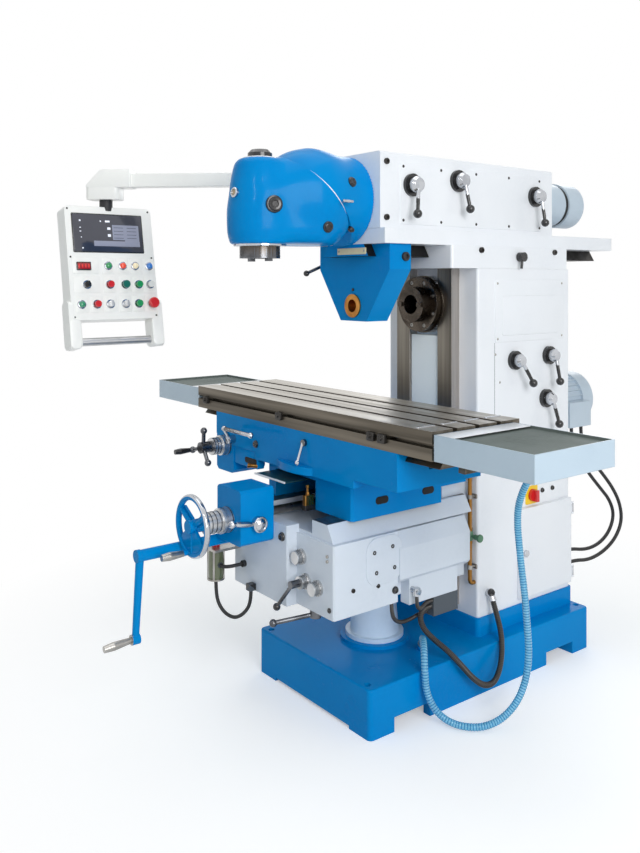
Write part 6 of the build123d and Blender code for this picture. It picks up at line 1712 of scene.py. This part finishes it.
@dataclass
class TableUnit:
    """Saddle, swivel base, table and its trays."""

    front: float = -615.0
    slot_z: float = 950.0
    crank: Pair = (-420.0, 797.0)
    tray_x: Pair = (632.0, 692.0)
    tray_y: Pair = (-606.0, -287.0)
    tray_top: float = 980.0
    dogs: Sequence[float] = (-560.0, -80.0, 384.0, 431.0)
    # Strips on the ridge at the table's right end, in chrome so the ridge shows a bright line: partly the
    # ridge, partly its painted highlight.
    ridge_highlights: Sequence[Pair] = ((-573.0, 66.0), (-480.0, 60.0), (-390.0, 60.0), (-298.0, 66.0))
    ridge_highlight_x: float = 560.0
    top: float = 990.0
    # Places of the dark slabs that paint the shade of the saddle's pockets.
    pocket_y: Pair = (-439.0, -235.0)
    pocket: Pair = (230.0, 700.0)
    clamp: Pair = (59.0, 876.0)
    clamp_tip: Triple = (54.0, -640.0, 818.0)

    def dress(self) -> None:
        """Blue castings, milled iron table, enamelled trays with a dark bed."""
        dress("saddle", BLUE, (DARK_STEEL, within(z=(640, 651))))
        dress_plain({"swivel_base": BLUE, "leadscrew": STEEL})
        dress("table", IRON, (TABLE_TOP, both(within(z=(985, 9e9)), upward)))
        right_bed = within((631, 956), (-607, -286), (913, 981.5))

        def beds(centre: np.ndarray, normal: np.ndarray) -> np.ndarray:
            """Faces inside either tray: X without its sign lies in the right tray's box."""
            return right_bed(np.column_stack([np.abs(centre[:, 0]), centre[:, 1:]]), normal)

        dress("drip_trays", TRAY, (TRAY_BED, beds))
        dress("table_crank", DARK_CHROME, (SATIN, within(y=(-682, -600))), (BLACK, within(y=(-900, -735))))
        dress("feed_lever", CHROME, (BLACK, within((-298, -250), z=(850, 1100))))

    def build(self) -> None:
        """Adds tray ledges, dogs, painted highlights on the end ridge, painted shade in the saddle's pockets,
        a clamp lever and dial ticks.
        """
        ledge = (self.tray_x[1] - self.tray_x[0], self.tray_y[1] - self.tray_y[0], 2)
        x, y = np.mean(self.tray_x), np.mean(self.tray_y)
        ledges = [slab(ledge, (s * x, y, self.tray_top), *TOP_FACE, 2, 0.8) for s in (1, -1)]
        piece("tray_ledges", [(ledges, WHITE)], "table")
        dogs = [slab((30, 26, 11), (x, self.front, self.slot_z - 6), *FRONT_FACE, 4, 2) for x in self.dogs]
        dogs += [hex_bolt((x, self.front - 11, self.slot_z - 4), FRONT, 6.5, 5) for x in self.dogs]
        piece("table_dogs", [(dogs, DARK_STEEL)], "table")
        # Chrome strips along the end ridge: the ridge with its painted highlight.
        ridge_highlights = [slab((9, width, 3), (self.ridge_highlight_x, y, self.top), *TOP_FACE, 2, 1.2) for y, width in self.ridge_highlights]
        piece("table_end_ridge_highlights", [(ridge_highlights, CHROME)], "table")
        self.castings()
        # Near-black slabs on the saddle's side: painted shade of its pockets.
        side, level = self.pocket
        pocket_shades = [slab((54, 24, 1.6), (side, y, level), *RIGHT_FACE, 11.5, 0.8) for y in self.pocket_y]
        piece("saddle_pocket_shades", [(pocket_shades, RECESS_SHADE)], "saddle")
        x, z = self.clamp
        boss = turned([(11, -1), (11, 10), (9, 12), (2, 13)], (x, self.front, z), FRONT, 32)
        line = arc_path([(x, self.front - 9, z), (x - 2, self.front - 17, z - 28), self.clamp_tip], 12)
        rod = tube(line, 4.5, 16)
        knob = turned([(4, -4), (8, 0), (8, 8), (4, 12)], self.clamp_tip, (-3, -8, -30), 28)
        blank = plug((-225, self.front, 828), FRONT, 13, 8)
        lever = [(boss, DARK_CHROME), ([rod, knob], CHROME), (blank, BLACK)]
        piece("table_clamp_lever", lever, "swivel_base")
        dial_marks("table_dial_marks", "table_crank", self.crank, (36, -634, 50, 8, 4.5),
                   ((36, -618), (30, -652), (30, -664), (30, -675)), 56)

    def castings(self) -> None:
        """Adds the apron with its spout and a dark slab as painted shade of its mouth, the saddle's cover
        with its rail, and the cross nut.
        """
        apron = slab((155, 64, 26), (-295, -586, 771), *FRONT_FACE, 8, 3)
        # Dark slab on the apron's front: painted shade of its mouth.
        mouth_shade = slab((74, 20, 1.4), (-262, self.front + 3, 763), *FRONT_FACE, 8, 0.7)
        spout = turned([(7, -6), (7, 20), (8.5, 21), (8.5, 30), (4, 31), (4, 26)], (-228, -612, 751),
                       (-0.55, -0.8, 0.1), 28)
        parts = [(apron, BLUE), (mouth_shade, RECESS_SHADE), (spout, BRASS)]
        piece("swivel_base_apron", parts, "swivel_base")
        cover = slab((176, 265, 4), (-89, -517.5, 738), *TOP_FACE, 3, 1)
        front = slab((176, 6, 3), (-89, -650, 740.6), *FRONT_FACE, 1, 0.6)
        rail = turned([(4, -65), (4, 65)], (-85, -567, 767), RIGHT, 24)
        piece("saddle_cover", [(cover, TEAL), (front, WHITE), (rail, CHROME)], "saddle")
        back = slab((222, 92, 5), (-67.5, -380, 697.5), *FRONT_FACE, 3, 1.2)
        shoe = slab((18, 58, 16), (35, -574, 652), *TOP_FACE, 2, 1.5, 0)
        top = (35, -586, 700)
        nut = [slab((17, 36, 32), (35, -584, 668), *TOP_FACE, 4, 2), hex_bolt(top, UP, 6, 9),
               turned([(4.5, 8), (4.5, 22), (6, 24), (6, 32), (2, 34)], top, UP, 24)]
        piece("cross_nut", [(back, TEAL), (shoe, DARK_STEEL), (nut, BRASS)], "saddle")


@dataclass
class PendantUnit:
    """Control pendant: box, screen, lamps and buttons, placed right and up from the panel's middle."""

    centre: Triple = (-703.0, -930.0, 1459.0)
    tilt: float = 11.0
    pivot: Pair = (-222.0, -335.0)
    swivel: Pair = (-762.0, -930.0)
    screen: Pair = (-8.0, 110.0)
    display: Pair = (-112.0, -14.0)
    lamps: Sequence[tuple[float, float, Finish]] = (
        (-19, -12, GREEN_LENS), (37, -12, RED_LENS), (87, -12, CREAM_LENS), (144, -12, BLUE_LENS),
        (-130, -154, LIT_LENS))
    labels: Sequence[tuple[float, Sequence[float]]] = (
        (-12, (-19, 37, 90, 141)), (-82, (-18, 42, 93, 141)), (-154, (-130, -73, -20, 37, 89, 141)))
    broad_labels: Sequence[Pair] = ((-105, -12), (-105, -82))
    screw_spots: Sequence[Pair] = (
        *product((-158, 158), (-199, 20, 199)), (0, 199))

    def dress(self) -> None:
        """White box and arm, coloured caps, steel bezels and handle bar."""
        x, y, out = self.axes()

        def bar(c: np.ndarray, n: np.ndarray) -> np.ndarray:
            """Faces of the handle bar, below the box and between its cheeks."""
            local = c - np.array(self.centre)
            return (local @ y < -225) & (np.abs(local @ x) < 160)

        def bezel(c: np.ndarray, n: np.ndarray) -> np.ndarray:
            """Faces of the bezels, proud of the panel's front and inside its outline."""
            local = c - np.array(self.centre)
            return (local @ out > 0.4) & (np.abs(local @ x) < 160) & (np.abs(local @ y) < 205)

        neck = both(about(self.swivel, 2, outer=25), within(z=(1600, 9e9)))
        dress("pendant_box", PANEL, (SATIN, bar), (CHROME, bezel), (SOFT_BLACK, neck))
        dress_plain({"pendant_arm": PANEL, "emergency_stop": RED, "spindle_stop_button": RED,
                     "feed_stop_button": RED, "spindle_start_button": DARK_GREEN, "coolant_button": GREEN,
                     "feed_start_button": GREEN, "lamp_button": WHITE_CAP, "feed_rate_knob": BLACK,
                     "head_selector": SATIN, "feed_selector": SATIN})

    def axes(self) -> Axes:
        """Directions of the panel's face, which leans back by the tilt.

        Returns:
            Right, up and outward, each at length one.
        """
        t = math.radians(self.tilt)
        out = np.array([math.cos(t), 0.0, math.sin(t)])
        return np.array([0.0, 1.0, 0.0]), np.array([-math.sin(t), 0.0, math.cos(t)]), out

    def at(self, a: float, b: float, rise: float = 0.0) -> np.ndarray:
        """A place on the panel, a to the right and b up from its middle."""
        x, y, out = self.axes()
        return np.array(self.centre) + a * x + b * y + rise * out

    def plate(self, a: float, b: float, width: float, height: float, thick: float, rise: float = 0.0,
              corner: float = 2.0, edge: float = 0.4) -> Shell:
        """A thin plate on the panel."""
        x, y, _ = self.axes()
        return slab((width, height, thick), self.at(a, b, rise), x, y, corner, edge, 0.2)

    def build(self) -> None:
        """Adds the screen, display, lamps, label plates and screws, the grip and the arm."""
        self.screens()
        out = self.axes()[2]
        rings = [turned([(16, -0.3), (16, 4), (14, 5.5), (11, 5.5), (11, -0.3)], self.at(a, b), out, 40, True)
                 for a, b, _ in self.lamps]
        dome = [(11.2, 0), (11.2, 9), (10, 12), (7, 14), (3, 15), (0.5, 15.2)]
        domes = [(turned(dome, self.at(a, b), out, 36), finish) for a, b, finish in self.lamps]
        piece("pendant_lamps", [(rings, CHROME), *domes], "pendant_box")
        labels = [self.plate(a, b, 47, 60, 0.6) for b, row in self.labels for a in row]
        labels += [self.plate(*spot, 100, 60, 0.6) for spot in self.broad_labels]
        piece("pendant_labels", [(labels, PANEL)], "pendant_box")
        screws = [round_screw(self.at(*spot), out, 3.6, 1.8) for spot in self.screw_spots]
        piece("pendant_screws", [(screws, DARK_STEEL)], "pendant_box")
        self.grip()
        self.arm_housing()

    def screens(self) -> None:
        """Screen with plain fields and marks, and the feed display with four digits."""
        boxes = [self.plate(*box, 1, 0.1) for box in
                 ((59, 114, 102, 57, 0.3, 2.7), (24, 71, 180, 20, 0.3, 2.7), (84, 102, 58, 80, 0.3, 2.8))]
        marks = [self.plate(*mark, 0.3, 2.7, 0.8, 0.1) for mark in
                 ((-115, 155, 6, 6), (-36, 155, 5, 5), (-9, 155, 18, 7), (-5, 128, 12, 9), (-5, 102, 12, 10),
                  (-115, 129, 6, 3), (-115, 115, 6, 3), (-113, 93, 4, 3), (-110, 53, 5, 5))]
        rows = [self.plate(a, 132 - 13 * k, 38, 1.6, 0.2, 3.1, 0.5, 0.05) for k in range(4) for a in (32, 84)]
        screen = [(self.plate(*self.screen, 276, 147, 2.0, corner=4, edge=1.2), BLACK),
                  (self.plate(*self.screen, 268, 139, 0.7, 2.0), SCREEN), (boxes, SCREEN_MID),
                  (marks, SCREEN_LIT), (rows, SCREEN)]
        piece("pendant_screen", screen, "pendant_box")
        left, level = self.display
        digits = [self.plate(left - 18 + 12 * k, level, 6, 13, 0.3, 5.4, 1.5, 0.2) for k in range(4)]
        display = [(self.plate(left, level, 54, 31, 5, corner=3, edge=1), BLACK),
                   (self.plate(left, level, 47, 23, 0.4, 5, 1.5, 0.2), LED), (digits, LED_MARK)]
        piece("pendant_display", display, "pendant_box")

    def grip(self) -> None:
        """Broad cheeks under the box and the sleeve on its handle bar."""
        x, y, _ = self.axes()
        cheeks = [slab((45, 108, 62), self.at(s * 158.6, -258, -57), x, y, 17, 5, 0) for s in (-1, 1)]
        sleeve = turned([(14.5, -140), (14.5, 140)], self.at(0, -286, -26), x, 40)
        piece("pendant_grip", [(cheeks, PANEL), (sleeve, SATIN)], "pendant_box")

    def arm_housing(self) -> None:
        """Arm in place of the plain one: hub, bar, sloped housing and a rounded box with the swivel's bore.

        The box's rows are its outline, drawn in a little at the foot, and then the bore's circle at the same
        angles, so that the closed loop of rows makes a block with a hole.
        """
        start, end = np.array(self.pivot), np.array(self.swivel)
        along, up = np.append(unit(end - start), 0.0), np.array([0.0, 0.0, 1.0])
        side, place = np.cross(up, along), np.append(end, 0.0)
        slope = [(62, 1737), (63, 1745), (12, 1800), (4, 1803), (-102, 1803), (-104, 1801), (-104, 1737)]
        wedge = profile_block(slope, 43, place, along, up, 3)
        flat = rounded_outline(124, 86, 18)
        turn = np.arctan2(flat[:, 1], flat[:, 0])
        bore = 12.6 * np.stack([np.cos(turn), np.sin(turn)], 1)
        rows = np.stack([flat * 0.97, flat, flat, bore, bore])
        rows[:3, :, 0] += 3
        rise = np.array([1693.0, 1696.0, 1738.0, 1738.0, 1693.0])
        drum = loft(place + rows[..., :1] * along + rows[..., 1:] * side + rise[:, None, None] * up, True)
        hub = turned([(36, 1739), (36, 1787), (34, 1789), (15.5, 1789), (15.5, 1739)],
                     (*start, 0), up, 64, True)
        reach = float(np.linalg.norm(end - start))
        bar = slab((50, 50, reach - 126), np.append(start, 1764) + 26 * along, side, up, 3, 1, 0)
        made = piece("pendant_arm_casting", [([wedge, drum, hub, bar], PANEL)], "pendant_arm")
        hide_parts("pendant_arm")


def main() -> None:
    """Builds the studio, the cords and every sub-assembly in order."""
    logging.basicConfig(level=logging.INFO, format="%(message)s")
    Studio().build()
    Hoses().build()
    for assembly in (ColumnUnit(), RamUnit(), HeadUnit(), KneeUnit(), TableUnit(), PendantUnit()):
        assembly.dress()
        assembly.build()
        LOG.info("%s dressed", type(assembly).__name__)


if __name__ == "__main__":
    main()
